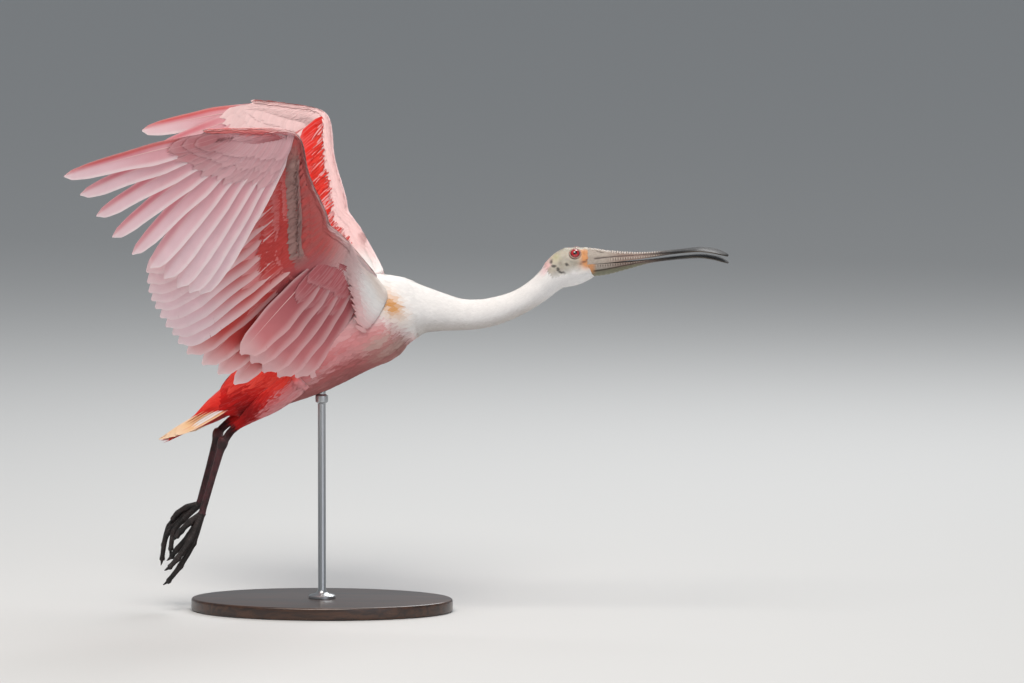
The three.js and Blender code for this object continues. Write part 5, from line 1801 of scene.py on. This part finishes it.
def woodFinish():
    # Stained hardwood under satin varnish: long dark grain, small pores, a soft even shine.
    spec = {"roughness": 0.34, "grainMm": 7, "poreMm": 1.1, "stretch": (0.07, 1.0, 1.0)}
    material, tree, shader = newFinish("stained hardwood, satin varnish", spec["roughness"], Coat_Weight=0.35,
                                       Coat_Roughness=0.2)
    place = objectPlace(tree, spec["stretch"])
    grain = span(tree, noise(tree, place, 1000 / spec["grainMm"], 6.0, Distortion=0.6), 0.35, 0.65)
    pores = span(tree, noise(tree, place, 1000 / spec["poreMm"]), 0.55, 0.7, 0.0, 0.5)
    base = mixColour(tree, grain, colour(tone("2B1A12")), colour(tone("4A2E1E")))
    tree.links.new(mixColour(tree, pores, base, colour(tone("150C08"))), shader.inputs["Base Color"])
    return material


def steelFinish():
    # Brushed stainless steel: bare metal with fine lines round the rod.
    spec = {"roughness": 0.32, "lineMm": 0.5, "stretch": (0.05, 0.05, 1.0), "bump": 0.15}
    material, tree, shader = newFinish("brushed stainless steel", spec["roughness"], Metallic=1.0)
    shader.inputs["Base Color"].default_value = colour(tone("B9BBBD"))
    lines = noise(tree, objectPlace(tree, spec["stretch"]), 1000 / spec["lineMm"])
    tree.links.new(bumped(tree, lines, spec["bump"], 0.0001), shader.inputs["Normal"])
    return material


def ovalBase():
    corner = standSpec["round"]
    turn = np.linspace(0, math.pi / 2, 7)
    low = [(corner * (1 - math.sin(t)), corner * (1 - math.cos(t))) for t in turn]
    high = [(corner * (1 - math.cos(t)), standSpec["height"] - corner * (1 - math.sin(t))) for t in turn]
    around = roundTurn(128)
    rings = []
    for inward, z in low + high:
        a, b = standSpec["length"] / 2 - inward, standSpec["width"] / 2 - inward
        rings.append(np.stack([a * np.cos(around), b * np.sin(around), np.full(len(around), z)], -1))
    return tube(np.array(rings))


base = addPiece("standBase", *ovalBase(), woodFinish())
finishPiece(base, "stand_wood", "stand_base")
around = roundTurn(48)
rod = addPiece("standRod", *tube(np.array([
    np.stack([r * np.cos(around), r * np.sin(around), np.full(len(around), z)], -1) for r, z in rodProfile
])), steelFinish())
finishPiece(rod, "stand_steel", "stand_rod")
for piece in (base, rod):
    edge = piece.modifiers.new("edges", "EDGE_SPLIT")
    edge.split_angle = math.radians(40)
print("stand built")


# Studio: a wide pale floor, soft lights, and the photo's view.
studioSpec = {
    "floorTone": tone("D0D1D1"), "half": 60000, "airTone": tone("E6ECF2"), "air": 0.34, "aim": (0.1, 0, 0.35),
}
# Matt paper: even, without a shine.
paper = plainFinish("matt studio paper", 0.9, studioSpec["floorTone"])
half = studioSpec["half"]
addPiece("floor", [(-half, -half, 0), (half, -half, 0), (half, half, 0), (-half, half, 0)],
                  [[0, 1, 2, 3]], paper)
lamps = {
    "key": {"at": (-0.3, -1.6, 3.6), "power": 128, "size": 2.2, "tone": tone("FFF8F0")},
    "fill": {"at": (2.2, -3.4, 1.2), "power": 20, "size": 2.6, "tone": tone("F2F5FF")},
    "back": {"at": (0.8, 2.6, 2.8), "power": 60, "size": 1.8, "tone": tone("FFFFFF")},
}
for name, lamp in lamps.items():
    light = bpy.data.lights.new(name, "AREA")
    light.energy = lamp["power"]
    light.size = lamp["size"]
    light.color = lamp["tone"]
    lampObject = bpy.data.objects.new(name, light)
    lampObject.location = lamp["at"]
    beam = Vector(studioSpec["aim"]) - Vector(lamp["at"])
    lampObject.rotation_euler = beam.to_track_quat("-Z", "Y").to_euler()
    lampObject.visible_camera = False
    scene.collection.objects.link(lampObject)
world = bpy.data.worlds.new("studio air")
world.use_nodes = True
air = world.node_tree.nodes["Background"].inputs
air["Color"].default_value = colour(studioSpec["airTone"])
air["Strength"].default_value = studioSpec["air"]
scene.world = world

cameraSpec = {
    "azimuth": 5.1, "elevation": 5.2, "distance": 14.0, "target": (0.240, 0.0, 0.342), "lens": 392.5,
    "sensor": 36, "far": 200,
}
azimuth, elevation = (math.radians(cameraSpec[key]) for key in ("azimuth", "elevation"))
level = math.cos(elevation)
viewLine = Vector((-math.sin(azimuth) * level, math.cos(azimuth) * level, -math.sin(elevation)))
cameraData = bpy.data.cameras.new("camera")
cameraData.lens = cameraSpec["lens"]
cameraData.sensor_width = cameraSpec["sensor"]
cameraData.clip_end = cameraSpec["far"]
camera = bpy.data.objects.new("camera", cameraData)
camera.location = Vector(cameraSpec["target"]) - viewLine * cameraSpec["distance"]
camera.rotation_euler = viewLine.to_track_quat("-Z", "Y").to_euler()
scene.collection.objects.link(camera)
scene.camera = camera
scene.view_settings.view_transform = "Standard"
